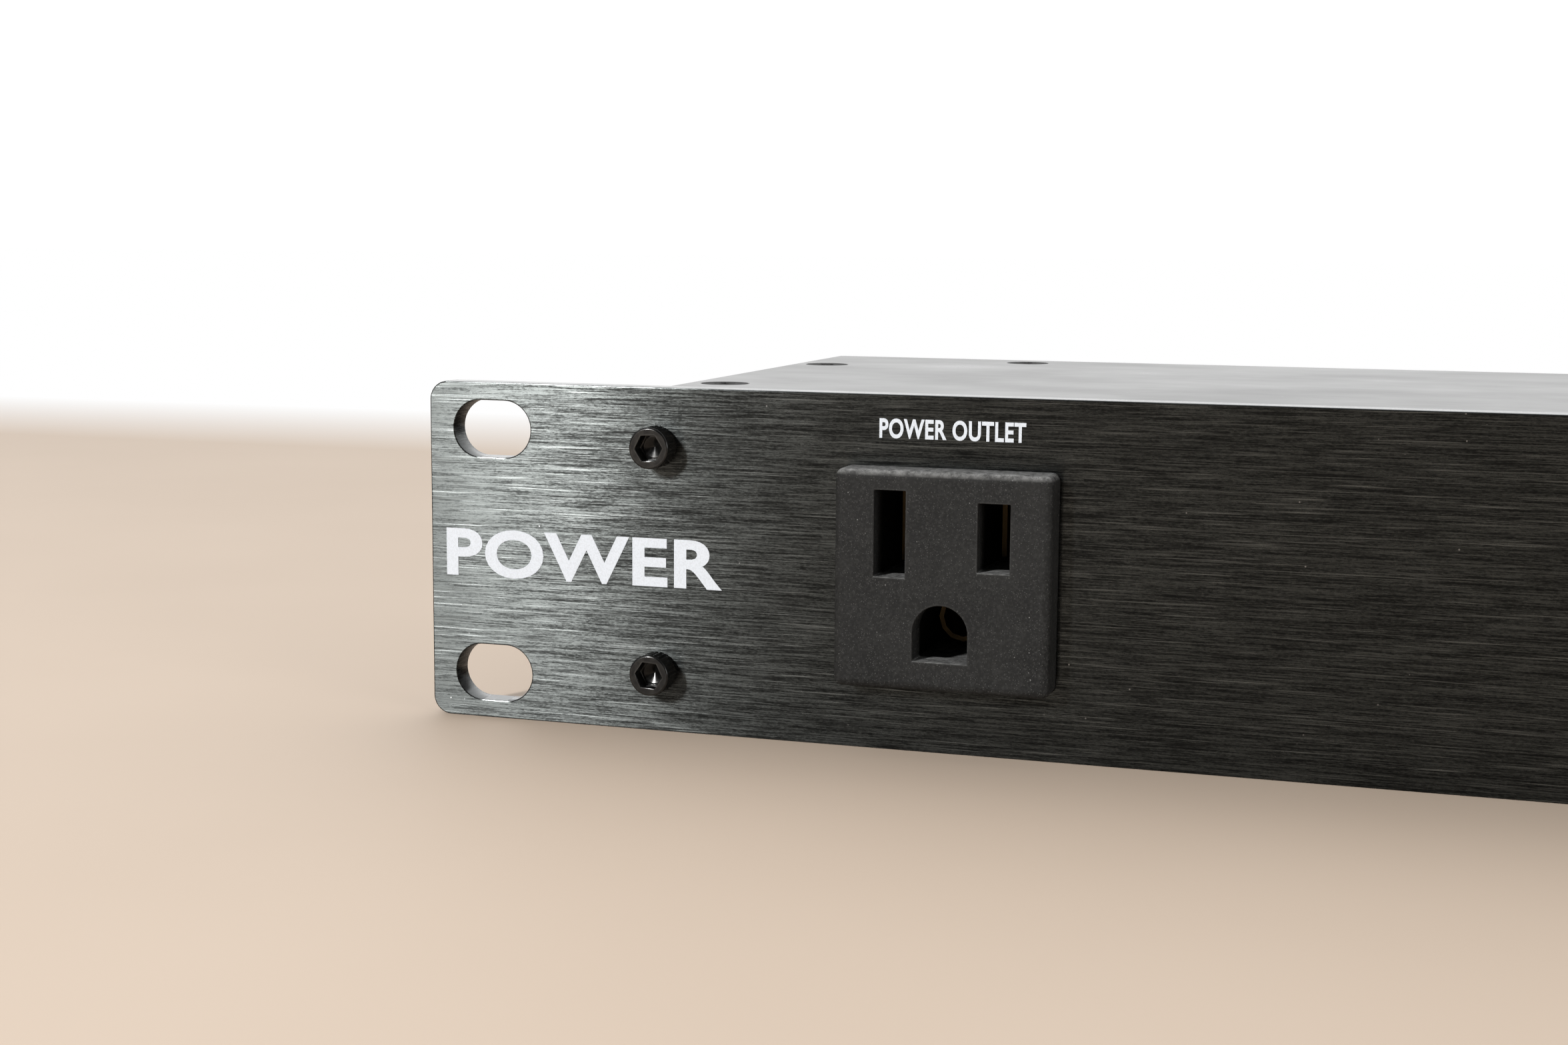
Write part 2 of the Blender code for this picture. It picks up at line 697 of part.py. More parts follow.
def indicator():
    sleeve = INDICATOR_HOLE - GAP
    flange, proud = INDICATOR_FLANGE
    bore, deep = INDICATOR_BORE, INDICATOR_DEEP
    rim = [(bore, proud), (flange - 0.6, proud), (flange, proud - GAP), (flange, GAP), (sleeve, GAP)]
    ring = turned("indicator_bezel", [*rim, (sleeve, -deep), (bore, -deep), (bore, proud)], GLOSS_BLACK)
    nose = dome(LAMP_RADIUS, 0.5)
    profile = [*nose, (LAMP_RADIUS, -LAMP_DEEP), (0, -LAMP_DEEP)]
    lamp = turned("indicator_lamp", profile, LAMP, 12)
    for piece in (ring, lamp):
        piece.location = Vector((INDICATOR_X, FRONT, MIDDLE)) * MM
        piece.rotation_euler = (math.pi / 2, 0, 0)


def dome(radius, height, steps=5):
    """The round nose of a turned piece, from its tip down to its side at that height."""
    turns = [math.pi / 2 * step / steps for step in range(steps + 1)]
    return [(radius * math.sin(turn), height + radius * math.cos(turn)) for turn in turns]


# --- rear fittings -------------------------------------------------------------------------------


def breaker():
    at, turn = (BREAKER_X, REAR, MIDDLE), (0, 0, 180)
    width, deep, height = BREAKER_BODY
    low = (-width / 2, SHEET + GAP, -height / 2)
    case = box("breaker_body", low, (width / 2, deep, height / 2))
    body = place("breaker_body", case, GLOSS_BLACK, at, turn)
    soften(body, 0.6, 1)
    bush, proud = BREAKER_BUSH
    bore, bore_end = BREAKER_BORE
    join(body, rod("breaker_bush", -proud, SHEET + 2 * GAP + 1, bush))
    cut(body, rod("breaker_bore", -proud - 1, bore_end, bore))
    corners, nut_face = BREAKER_NUT
    hexagon = rod("breaker_nut", -nut_face, -GAP, corners, segments=6)
    nut = place("breaker_nut", hexagon, ZINC, at, turn)
    cut(nut, rod("breaker_nut_bore", -nut_face - 1, 1, BREAKER_HOLE))
    radius, button_face, button_end = BUTTON
    button = rod("breaker_button", -button_face, button_end, radius)
    soften(place("breaker_button", button, NYLON, at, turn), 0.4)


def inlet():
    at, turn = (INLET_X, REAR, MIDDLE), (0, 0, 180)
    flange, deep = INLET_FLANGE, INLET_BODY[1] + GAP
    face = -GAP - flange[1]
    plate = slabs("inlet_body", [(0, 0)], (flange[0], flange[2]), face, -GAP, INLET_CORNER)
    body = place("inlet_body", plate, GLOSS_BLACK, at, turn)
    half = (INLET_BODY[0] / 2, INLET_BODY[2] / 2)
    join(body, box("inlet_shell", (-half[0], face + 1, -half[1]), (half[0], deep, half[1])))
    screws = [(-INLET_SCREW_X, 0), (INLET_SCREW_X, 0)]
    thick, tall = PIN[0] / 2, PIN[1] / 2
    slot = (thick + GAP, tall + GAP)
    pin_slots = [
        ((x - slot[0], PIN_FLOOR, z - slot[1]), (x + slot[0], deep + 1, z + slot[1]))
        for x, z in INLET_PINS.values()
    ]
    width, floor, height = INLET_CAVITY
    head = INLET_HEAD[0] + GAP
    mouth, depth = 0.5, 2.0  # the cone starts outside the flange and ends inside it
    cone = (face - mouth, face + depth, head + mouth, head - depth)
    cut(
        body,
        slabs(
            "inlet_cavity",
            [(0, 0)],
            (width, height),
            face - 1,
            floor,
            INLET_CHAMFER,
            steps=1,
            top_only=True,
        ),
        boxes("inlet_pin_slots", pin_slots),
        rods("inlet_through_holes", screws, face - 1, 1, INLET_SCREW_HOLE, segments=12),
        rods("inlet_countersinks", screws, *cone, segments=12),
    )
    near, far = PIN_ENDS
    for kind, (x, z) in INLET_PINS.items():
        pin = box("inlet_pin", (x - thick, near, z - tall), (x + thick, far, z + tall))
        soften(place(f"inlet_pin_{kind}", pin, ZINC, at, turn), 0.3, 1)
    screw = flat_screw_mesh("inlet_screw", INLET_HEAD, INLET_SHANK, ZINC)
    for number, (x, _) in enumerate(screws, 1):
        place(f"inlet_screw_{number}", screw, ZINC, (INLET_X + x, REAR - face, MIDDLE), (-90, 0, 0))


# --- surge board ---------------------------------------------------------------------------------


def surge_board():
    half = (BOARD[0] / 2, BOARD[1] / 2)
    top = BOARD_BOTTOM + BOARD[2]
    sheet = box("surge_board", (-half[0], -half[1], 0), (half[0], half[1], BOARD[2]))
    board = place("surge_board", sheet, BOARD_GREEN, (*BOARD_AT, BOARD_BOTTOM))
    cut(board, rods("board_holes", BOARD_HOLES, -1, 3, BOARD_HOLE, axis="Z", segments=12))
    standoffs(top)
    base = top + GAP
    varistors(base)
    width, length, height = CAPACITOR
    case = box("filter_capacitor", (-width / 2, -length / 2, 0), (width / 2, length / 2, height))
    soften(place("filter_capacitor", case, CAPACITOR_YELLOW, (*CAPACITOR_AT, base)), 0.8, 1)
    place("filter_choke", ring_mesh("filter_choke", *CHOKE), FERRITE, (*CHOKE_AT, base + CHOKE[1]))
    corners, bottom, nut_top = EARTH_NUT
    hexagon = rod("earth_nut", bottom, nut_top, corners, axis="Z", segments=6)
    nut = place("earth_nut", hexagon, ZINC, (*EARTH_STUD, 0))
    bore = EARTH_STUD_SIZE[0] + GAP
    cut(nut, rod("earth_nut_bore", bottom - 1, nut_top + 1, bore, axis="Z", segments=12))


def standoffs(top):
    """Snap-in feet: each holds the board between its collar and its barbed nose."""
    stem, collar, nose = STANDOFF
    profile = [
        (0, top + 2.6),
        (1.2, top + 2.6),
        (nose, top + 0.9),
        (nose, top + GAP),
        (stem, top + GAP),
        (stem, BOARD_BOTTOM - GAP),
        (collar, BOARD_BOTTOM - GAP),
        (collar, SHEET + GAP),
        (stem, SHEET + GAP),
        (stem, GAP),
        (0, GAP),
    ]
    mesh = fixed_mesh(turned("board_standoff", profile, NYLON, 10))
    for number, (x, y) in enumerate(BOARD_HOLES, 1):
        place(f"board_standoff_{number}", mesh, NYLON, (BOARD_AT[0] + x, BOARD_AT[1] + y, 0))


def varistors(base):
    """Discs that stand on edge, each on two flat legs."""
    radius, thick, lift = VARISTOR
    spread, half = VARISTOR_LEG
    legs = [((x - half, -half, 0), (x + half, half, lift + 3)) for x in (-spread, spread)]
    for number, (x, y) in enumerate(VARISTORS, 1):
        disc = rod("varistor", -thick / 2, thick / 2, radius, at=(0, lift + radius))
        piece = place(f"varistor_{number}", disc, VARISTOR_BLUE, (x, y, base))
        soften(piece, 0.8, 1, 60)
        join(piece, boxes(f"varistor_legs_{number}", legs))


def ring_mesh(name, radius, thick, around=20, about=8):
    """A ring of round section that lies flat."""
    work = bmesh.new()
    loops = []
    for step in range(around):
        turn = 2 * math.pi * step / around
        out = Vector((math.cos(turn), math.sin(turn), 0))
        loop = []
        for spin in range(about):
            angle = 2 * math.pi * (spin + 0.5) / about
            point = out * (radius + thick * math.cos(angle)) + Vector((0, 0, thick * math.sin(angle)))
            loop.append(work.verts.new(point * MM))
        loops.append(loop)
    for step in range(around):
        here, there = loops[step], loops[(step + 1) % around]
        for spin in range(about):
            after = (spin + 1) % about
            work.faces.new((here[spin], there[spin], there[after], here[after]))
    return closed(name, work)


# --- leads ---------------------------------------------------------------------------------------


def smooth_route(points, spacing):
    """Points about that far apart on a smooth curve through the given ones."""
    points = [Vector(point) for point in points]
    ends = [2 * points[0] - points[1], *points, 2 * points[-1] - points[-2]]
    route = []
    for before, start, finish, after in zip(ends, ends[1:], ends[2:], ends[3:]):
        steps = max(2, round((finish - start).length / spacing))
        for step in range(steps):
            t = step / steps
            route.append(
                0.5
                * (
                    2 * start
                    + (finish - before) * t
                    + (2 * before - 5 * start + 4 * finish - after) * t**2
                    + (3 * start - before - 3 * finish + after) * t**3
                )
            )
    return [*route, points[-1]]


def lead(name, points, radius, look, spacing):
    line = bpy.data.curves.new(name, "CURVE")
    line.dimensions = "3D"
    line.bevel_depth = radius * MM
    line.bevel_resolution = 2
    line.use_fill_caps = True
    route = smooth_route(points, spacing)
    spline = line.splines.new("POLY")
    spline.points.add(len(route) - 1)
    for slot, point in zip(spline.points, route):
        slot.co = (*(point * MM), 1.0)
    line.materials.append(look)
    place(name, line, look)


def leads():
    inlet_end = REAR - PIN_ENDS[1] - GAP
    breaker_end = REAR - BREAKER_BODY[1] - GAP
    low = MIDDLE + INLET_PINS["line"][1]
    high = MIDDLE + INLET_PINS["earth"][1]
    board_top = BOARD_BOTTOM + BOARD[2] + GAP
    line_x = INLET_X - INLET_PINS["line"][0]
    neutral_x = INLET_X - INLET_PINS["neutral"][0]
    wire, jacket = 1.7, 3.0
    to_breaker = [
        (line_x, inlet_end, low),
        (line_x, 18, low),
        (163, 8, 20),
        (148, 6, 21),
        (138, 13, 22),
        (136, breaker_end, 22),
    ]
    lead("lead_line", to_breaker, wire, WIRE["black"], 5)
    to_board = [
        (neutral_x, inlet_end, low),
        (neutral_x, 16, low),
        (180, 2, 15),
        (160, -14, 12),
        (130, -12, 16),
        (110, -10, 20),
        (103, -10, 16),
        (103, -10, board_top),
    ]
    lead("lead_neutral", to_board, wire, WIRE["white"], 6)
    to_stud = [
        (INLET_X, inlet_end, high),
        (INLET_X, 17, high),
        (174, 6, 16),
        (166, -3, 6),
        (156.2, -7.5, 4.7),
    ]
    lead("lead_earth", to_stud, wire, WIRE["green"], 5)
    from_switch = [
        (SWITCH_X, FRONT + TERMINAL_ENDS[1] + GAP, MIDDLE),
        (SWITCH_X, -14, MIDDLE),
        (180, -8, 14),
        (165, -20, 6),
        (140, -30, 6),
        (118, -29, 14),
        (103, -26, 22),
        (98, -26, 17),
        (98, -26, board_top),
    ]
    lead("lead_switch", from_switch, jacket, WIRE["black"], 7)
    from_outlet = [
        (FRONT_OUTLET_X, FRONT + TAB_BACK + GAP, 20),
        (FRONT_OUTLET_X, -14, 19),
        (-166, -4, 11),
        (-145, -2, 5.2),
        (-90, -12, 5.2),
        (-30, -18, 5.2),
        (8, -18, 8),
        (26, -18, 20),
        (37, -18, 22),
        (40, -18, 16),
        (40, -18, board_top),
    ]
    lead("lead_front_outlet", from_outlet, jacket, WIRE["black"], 9)


front_panel()
chassis_tray()
top_cover()
fasteners()
outlets()
switch()
indicator()
breaker()
inlet()
surge_board()
leads()
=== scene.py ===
"""The looks of a one-unit rack power strip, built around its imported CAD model.

Lengths in the shape functions are in millimetres, and the scene is in metres. X runs to the right along
the panel, Y from the front to the back and Z up.
"""

import json
import math

import bmesh
import bpy
from mathutils import Matrix, Vector


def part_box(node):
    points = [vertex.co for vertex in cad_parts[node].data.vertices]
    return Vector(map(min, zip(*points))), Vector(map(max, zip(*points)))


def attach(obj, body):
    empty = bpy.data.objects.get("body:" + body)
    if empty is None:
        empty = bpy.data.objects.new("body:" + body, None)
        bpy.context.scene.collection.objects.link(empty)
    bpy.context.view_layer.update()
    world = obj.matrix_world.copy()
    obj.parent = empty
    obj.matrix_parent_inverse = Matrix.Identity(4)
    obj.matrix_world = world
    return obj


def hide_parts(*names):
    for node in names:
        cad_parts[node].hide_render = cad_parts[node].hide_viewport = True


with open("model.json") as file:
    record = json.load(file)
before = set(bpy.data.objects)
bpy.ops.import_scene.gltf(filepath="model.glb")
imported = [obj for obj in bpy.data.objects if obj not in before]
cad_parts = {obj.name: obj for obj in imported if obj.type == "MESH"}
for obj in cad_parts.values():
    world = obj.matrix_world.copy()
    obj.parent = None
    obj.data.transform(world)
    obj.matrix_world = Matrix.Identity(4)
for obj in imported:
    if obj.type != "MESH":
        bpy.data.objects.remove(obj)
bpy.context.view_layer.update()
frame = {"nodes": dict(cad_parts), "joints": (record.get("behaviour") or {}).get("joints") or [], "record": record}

MM = 0.001
FILM = 0.03  # half the thickness of printed ink
SLIVER = 0.005  # what a full round leaves of its straight side


def node_box(node):
    """A CAD node's lowest and highest corners in millimetres."""
    low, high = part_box(node)
    return Vector(low) / MM, Vector(high) / MM


def node_middle(node):
    """The middle of a CAD node's box in millimetres."""
    low, high = node_box(node)
    return (low + high) / 2


# The case, read from the frame.
PANEL_LOW, PANEL_HIGH = node_box("front_panel")
TRAY_LOW, TRAY_HIGH = node_box("chassis_tray")
COVER_LOW, COVER_HIGH = node_box("top_cover")
FRONT = PANEL_LOW.y
REAR = TRAY_HIGH.y
MIDDLE = (PANEL_LOW.z + PANEL_HIGH.z) / 2
SHEET = COVER_HIGH.z - COVER_LOW.z
CLEAR = 0.3  # between the CAD pieces
SNUG = 0.06  # between an outlet and the panel's opening

# Details of the panel and the case that the frame's boxes don't hold.
PANEL_CORNER = 2.4
PANEL_EDGE = 0.22
GRAIN_LEAN = 0.042  # how far the brushed surface's normals lean to the right
GRAIN_STRAY = 0.016  # how far that lean strays with the grain
RACK_SLOT = (10.6, 7.3)
RACK_SLOT_INSET = 8.75
RACK_SLOT_SPREAD = 31.75
BEND = 1.0  # outer radius of the folded sheet
SIDE_FLANGE = 11.0
REAR_FLANGE = 12.0
FRONT_FLANGE = 5.0
STUD = (2.0, 12.0)  # radius and height of the earth stud

# Radii of the round holes.
PANEL_SCREW_HOLE = 2.05
COVER_SCREW_HOLE = 2.05
INDICATOR_HOLE = 4.2
BREAKER_HOLE = 5.1
INLET_SCREW_HOLE = 1.8
FOOT_HOLE = 1.9

# Screws, with the radius and the length of each head and shank.
PANEL_SCREWS = [node_middle(f"panel_screw_{n}") for n in range(1, 5)]
PANEL_SCREW_PLACES = [(spot.x, spot.z) for spot in PANEL_SCREWS]
COVER_SCREWS = [node_middle(f"cover_screw_{n}") for n in range(1, 8)]
COVER_SCREW_PLACES = [(spot.x, spot.y) for spot in COVER_SCREWS]
CAP_HEAD = (2.62, 3.4)
CAP_SHANK = (1.6, 12.0)
CAP_SOCKET = 1.82  # radius over the hexagon's corners
CAP_SOCKET_DEEP = 1.9
CAP_TEETH = 28
CAP_TOOTH = 0.14  # depth of the knurl
CAP_TURNS = (4, -3, 22, 11)  # of the sockets, in degrees
CLINCH_NUT = (3.6, 1.9, 3.0)  # radius, bore and depth
COVER_SCREW = ((3.3, 1.55), (1.6, 6.0))
INLET_SCREW = ((2.9, 1.5), (1.4, 8.0))
RECESS = (0.42, 1.0)  # half the width of a cross recess's arms, and their depth

# Outlets. Their own frame faces -Y from the wall's outer face.
FRONT_OUTLET_X = node_middle("front_outlet").x
REAR_OUTLET_X = [node_middle(f"rear_outlet_{n}").x for n in range(1, 9)]
OUTLET_Z = node_middle("front_outlet").z
OUTLET_SIDE = 26.5
OUTLET_PROUD = FRONT - node_box("front_outlet")[0].y
OUTLET_DEEP = node_box("front_outlet")[1].y - FRONT
OUTLET_ROUND = 1.0
OUTLET_SHOULDER = (30.5, 2.0)  # side and depth of the rim behind the wall
BLADE_X = 6.35
BLADE_Z = 5.6
BLADE_SLOT = 3.9
NEUTRAL_SLOT = 10.5
HOT_SLOT = 8.3
SLOT_LIP = 3.9  # depth of the slots before they open into the contact chambers
CHAMBER_END = 20.5
CHAMBER_ROOM = (0.9, 0.7)  # how much further a chamber reaches than its slot, each way
EARTH_HOLE = (6.76, 6.9)
EARTH_HOLE_Z = -6.2
EARTH_CHAMBER = (8.16, 8.1)

# Switch, indicator and rear fittings.
SWITCH_X = node_middle("switch_housing").x
SWITCH_BEZEL = (15.5, 1.4, 21.0)
SWITCH_BODY = (12.9, 21.0, 18.6)
SWITCH_CAVITY = (10.6, 17.0)
SWITCH_CAVITY_END = 10.0
TERMINAL_SLOT = (1.4, 5.4)
TERMINAL_Z = (-4.5, 4.5)
ROCKER_AXIS = Vector(frame["joints"][0]["pos_m"]) / MM
ROCKER_WIDTH = 10.0
ROCKER_RADIUS = 8.2
ROCKER_VALLEY = 2.0
ROCKER_TILT = math.radians(12)
ROCKER_MARK_Z = 4.2
TRUNNION = (1.1, 5.8)  # radius and half length
TRUNNION_BORE = (1.4, 6.1)
INDICATOR_X = node_middle("indicator_lamp").x
LENS_RADIUS = 2.5
BREAKER_X = node_middle("breaker_body").x
BREAKER_BODY = (14.0, 25.5, 22.0)
THREAD = (4.45, 4.8, 0.6)  # root and crest radius, and pitch
INLET_X = node_middle("inlet_body").x
INLET_FLANGE = (50.0, 3.0, 22.6)
INLET_BODY = (27.4, 16.7, 19.6)
INLET_CAVITY = (24.4, 16.4)
INLET_CAVITY_DEEP = 14.5
INLET_SCREW_X = 20.0
PINS = {"line": (7.0, -2.0), "neutral": (-7.0, -2.0), "earth": (0.0, 2.0)}
PIN_HALF = (1.0, 2.0)  # half the width and height of a pin

# Light and camera, in metres.
LENS = 50.24  # focal length in millimetres on a sensor 36 wide
SENSOR = 36.0
CAMERA_PLACE = (-0.11132, -0.30526, 0.06272)
CAMERA_FORWARD = (-0.30362, 0.94379, -0.13065)
CAMERA_UP = (-0.04713, 0.12208, 0.99140)
FLOOR_HALF = 6.0
TABLE_EDGE = (0.26, 0.39)  # where the table gives way to white, behind the strip
WALL_EDGE = (-0.3, 0.35)  # where the dim side of the room gives way to its bright wall
ROOM_DIM = 0.08
ROOM_BRIGHT = 1.5
LIGHT_AIM = (-0.17, 0, 0.02)
KEY_DIRECTION = (-0.378, -0.85, 0.38)
KEY_DISTANCE = 1.6
KEY_SIZE = (0.12, 0.24)
KEY_POWER = 30.0
FILL_DIRECTION = (0.85, -0.5, 0.12)
FILL_DISTANCE = 1.2
FILL_SIZE = (0.5, 0.5)
FILL_POWER = 6.0


# --- materials -----------------------------------------------------------------------------------


EDGE_REACH = 0.35 * MM  # how far in from an edge its lighter band reaches: painted highlight, partly wear


class Look:
    """A node material. Its textures read the piece's own coordinates in millimetres."""

    def __init__(self, name, colour, roughness, metallic=0.0, **sockets):
        self.material = bpy.data.materials.new(name)
        self.material.use_nodes = True
        self.tree = self.material.node_tree
        self.shader = self.tree.nodes["Principled BSDF"]
        self.put("Base Color", (*colour, 1.0))
        self.put("Roughness", roughness)
        self.put("Metallic", metallic)
        for socket, value in sockets.items():
            self.put(socket.replace("_", " "), value)
        self.place = self.node("ShaderNodeTexCoord").outputs["Object"]
        self.normal = None

    def put(self, socket, value):
        self.shader.inputs[socket].default_value = value

    def node(self, kind, **settings):
        made = self.tree.nodes.new(kind)
        for key, value in settings.items():
            setattr(made, key, value)
        return made

    def link(self, source, target):
        self.tree.links.new(source, target)

    def scaled(self, scale):
        """The piece's coordinates with each axis in periods of 1/scale millimetres."""
        mapping = self.node("ShaderNodeMapping")
        mapping.inputs["Scale"].default_value = [value / MM for value in scale]
        self.link(self.place, mapping.inputs["Vector"])
        return mapping.outputs["Vector"]

    def noise(self, scale, detail=3.0, rough=0.55):
        """Noise with about that many waves to a millimetre along X, Y and Z."""
        made = self.node("ShaderNodeTexNoise")
        made.inputs["Scale"].default_value = 1.0
        made.inputs["Detail"].default_value = detail
        made.inputs["Roughness"].default_value = rough
        self.link(self.scaled(scale), made.inputs["Vector"])
        return made.outputs["Fac"]

    def cells(self, scale):
        """The distance to the middle of the nearest of scattered cells."""
        made = self.node("ShaderNodeTexVoronoi")
        made.inputs["Scale"].default_value = 1.0
        self.link(self.scaled(scale), made.inputs["Vector"])
        return made.outputs["Distance"]

    def spread(self, value, low, high, to_low=0.0, to_high=1.0):
        """Maps a value from low..high onto to_low..to_high, clamped."""
        made = self.node("ShaderNodeMapRange")
        for socket, number in zip(made.inputs[1:5], (low, high, to_low, to_high)):
            socket.default_value = number
        self.link(value, made.inputs["Value"])
        return made.outputs["Result"]

    def maths(self, operation, first, second):
        made = self.node("ShaderNodeMath", operation=operation)
        for socket, value in zip(made.inputs, (first, second)):
            if isinstance(value, (int, float)):
                socket.default_value = value
            else:
                self.link(value, socket)
        return made.outputs["Value"]

    def blend(self, share, first, second):
        """A colour between two others, each a colour or an output."""
        made = self.node("ShaderNodeMix", data_type="RGBA")
        self.link(share, made.inputs["Factor"])
        for socket, value in zip((made.inputs[6], made.inputs[7]), (first, second)):
            if isinstance(value, tuple):
                socket.default_value = (*value, 1.0)
            else:
                self.link(value, socket)
        return made.outputs[2]

    def colour(self, output):
        self.link(output, self.shader.inputs["Base Color"])

    def roughness(self, output):
        self.link(output, self.shader.inputs["Roughness"])

    def bump(self, height, depth, strength=1.0):
        """Adds relief of that depth in millimetres, on top of any relief already there."""
        made = self.node("ShaderNodeBump")
        made.inputs["Strength"].default_value = strength
        made.inputs["Distance"].default_value = depth * MM
        self.link(height, made.inputs["Height"])
        if self.normal is not None:
            self.link(self.normal, made.inputs["Normal"])
        self.normal = made.outputs["Normal"]
        self.link(self.normal, self.shader.inputs["Normal"])

    def edges(self):
        """1 on rounded edges and 0 elsewhere: the normal there leaves the average around it."""
        around = self.node("ShaderNodeBevel", samples=4)
        around.inputs["Radius"].default_value = EDGE_REACH
        apart = self.node("ShaderNodeVectorMath", operation="DOT_PRODUCT")
        self.link(around.outputs["Normal"], apart.inputs[0])
        self.link(self.node("ShaderNodeNewGeometry").outputs["Normal"], apart.inputs[1])
        return self.spread(apart.outputs["Value"], 0.9, 0.99, 1.0, 0.0)


def facing_up(look):
    """1 where the surface faces up, and 0 where it is upright or faces down."""
    split = look.node("ShaderNodeSeparateXYZ")
    look.link(look.node("ShaderNodeNewGeometry").outputs["Normal"], split.inputs["Vector"])
    return look.spread(split.outputs["Z"], 0.25, 0.9)


def dust(look, pitch, share, size):
    """A mask of specks: a cell every pitch millimetres, and a larger share leaves more of them clean."""
    specks = look.spread(look.cells((1 / pitch,) * 3), size * 0.6, size, 1.0, 0.0)
    patches = look.spread(look.noise((0.35 / pitch,) * 3, 2.0), share, share + 0.06)
    return look.maths("MULTIPLY", specks, patches)


def anodised_look():
    """Black anodised aluminium brushed along X: fine streaks, a few bright lines and faint scratches."""
    film = {"Coat_Weight": 0.045, "Coat_Roughness": 0.5}
    look = Look("anodised_panel", (0.04, 0.04, 0.04), 0.28, 0.94, Anisotropic=1.0, **film)
    tangent = look.node("ShaderNodeTangent", direction_type="UV_MAP", uv_map="grain")
    look.link(tangent.outputs["Tangent"], look.shader.inputs["Tangent"])
    grain = look.maths("MULTIPLY", look.noise((2.2, 0.5, 9.0), 2.0, 0.6), 0.3)
    longer = (((0.14, 0.5, 7.5), 0.42), ((0.34, 0.5, 5.0), 0.2), ((0.04, 0.3, 1.6), 0.08))
    for scale, share in longer:
        layer = look.maths("MULTIPLY", look.noise(scale, 2.0, 0.6), share)
        grain = look.maths("ADD", grain, layer)
    # The normal leans along the brushing, by an amount that strays with the grain.
    tilt = look.node("ShaderNodeCombineXYZ")
    stray = look.spread(grain, 0.4, 0.6, GRAIN_LEAN + GRAIN_STRAY, GRAIN_LEAN - GRAIN_STRAY)
    look.link(stray, tilt.inputs["X"])
    lean = look.node("ShaderNodeVectorMath", operation="ADD")
    look.link(tilt.outputs["Vector"], lean.inputs[1])
    look.link(look.node("ShaderNodeNewGeometry").outputs["Normal"], lean.inputs[0])
    look.normal = lean.outputs["Vector"]
    groove, ridge = (0.0102, 0.011, 0.0106), (0.062, 0.0668, 0.065)
    shade = look.blend(look.spread(grain, 0.42, 0.58), groove, ridge)
    scratch, scratch_shade = look.noise((0.09, 0.5, 8.0), 1.0, 0.5), (0.14, 0.149, 0.146)
    shade = look.blend(look.spread(scratch, 0.62, 0.76), shade, scratch_shade)
    dark, dark_shade = look.noise((0.16, 0.5, 7.0), 1.0), (0.009, 0.0094, 0.009)
    shade = look.blend(look.spread(dark, 0.54, 0.68, 0.0, 0.55), shade, dark_shade)
    # Faces that look up are painted lighter and made smoother: a painted sheen for the bright line along the top
    # edge, and partly wear.
    up, top_sheen_and_wear = facing_up(look), (0.1, 0.105, 0.105)
    shade = look.blend(up, shade, top_sheen_and_wear)
    look.colour(look.blend(dust(look, 1.7, 0.58, 0.07), shade, (0.3, 0.3, 0.3)))
    smoother = look.spread(up, 0.0, 1.0, 1.0, 0.5)
    look.roughness(look.maths("MULTIPLY", look.spread(grain, 0.38, 0.62, 0.315, 0.24), smoother))
    look.bump(grain, 0.006, 0.35)
    return look.material


def powder_look():
    """Semi-gloss black powder coat with a fine orange-peel texture."""
    look = Look("powder_coat", (0.02, 0.02, 0.02), 0.3, Specular_IOR_Level=0.6)
    peel = look.noise((1.6, 1.6, 1.6), 3.0, 0.6)
    smudge = look.noise((0.03, 0.05, 0.05), 4.0, 0.6)
    shade = look.blend(look.spread(smudge, 0.35, 0.7), (0.016, 0.016, 0.0155), (0.028, 0.028, 0.027))
    look.colour(look.blend(dust(look, 2.4, 0.58, 0.06), shade, (0.3, 0.3, 0.29)))
    look.roughness(look.spread(smudge, 0.3, 0.7, 0.26, 0.36))
    look.bump(peel, 0.004, 0.4)
    return look.material


def oxide_look():
    """Glossy black oxide on steel, a little brown where it thins. Its rounded edges are painted lighter, a painted
    highlight along the rims.
    """
    look = Look("black_oxide_screw", (0.02, 0.02, 0.02), 0.15, 0.7)
    mottle = look.noise((1.4, 1.4, 1.4), 4.0, 0.6)
    shade = look.blend(look.spread(mottle, 0.4, 0.7), (0.008, 0.008, 0.008), (0.021, 0.0205, 0.019))
    # Painted highlight: the rounded edges are lighter.
    look.colour(look.blend(look.maths("MULTIPLY", look.edges(), 0.5), shade, (0.1, 0.1, 0.096)))
    look.roughness(look.spread(mottle, 0.3, 0.7, 0.16, 0.26))
    look.bump(look.noise((7, 7, 7), 2.0), 0.004, 0.4)
    return look.material


def dull_oxide_look():
    """Plain black oxide with little shine, for the screws of the cover."""
    look = Look("black_oxide_dull", (0.015, 0.015, 0.015), 0.7, Specular_IOR_Level=0.15)
    mottle = look.noise((1.4, 1.4, 1.4), 4.0, 0.6)
    look.colour(look.blend(look.spread(mottle, 0.4, 0.7), (0.01, 0.01, 0.01), (0.025, 0.024, 0.022)))
    look.roughness(look.spread(mottle, 0.3, 0.7, 0.6, 0.8))
    look.bump(look.noise((7, 7, 7), 2.0), 0.006, 0.5)
    return look.material


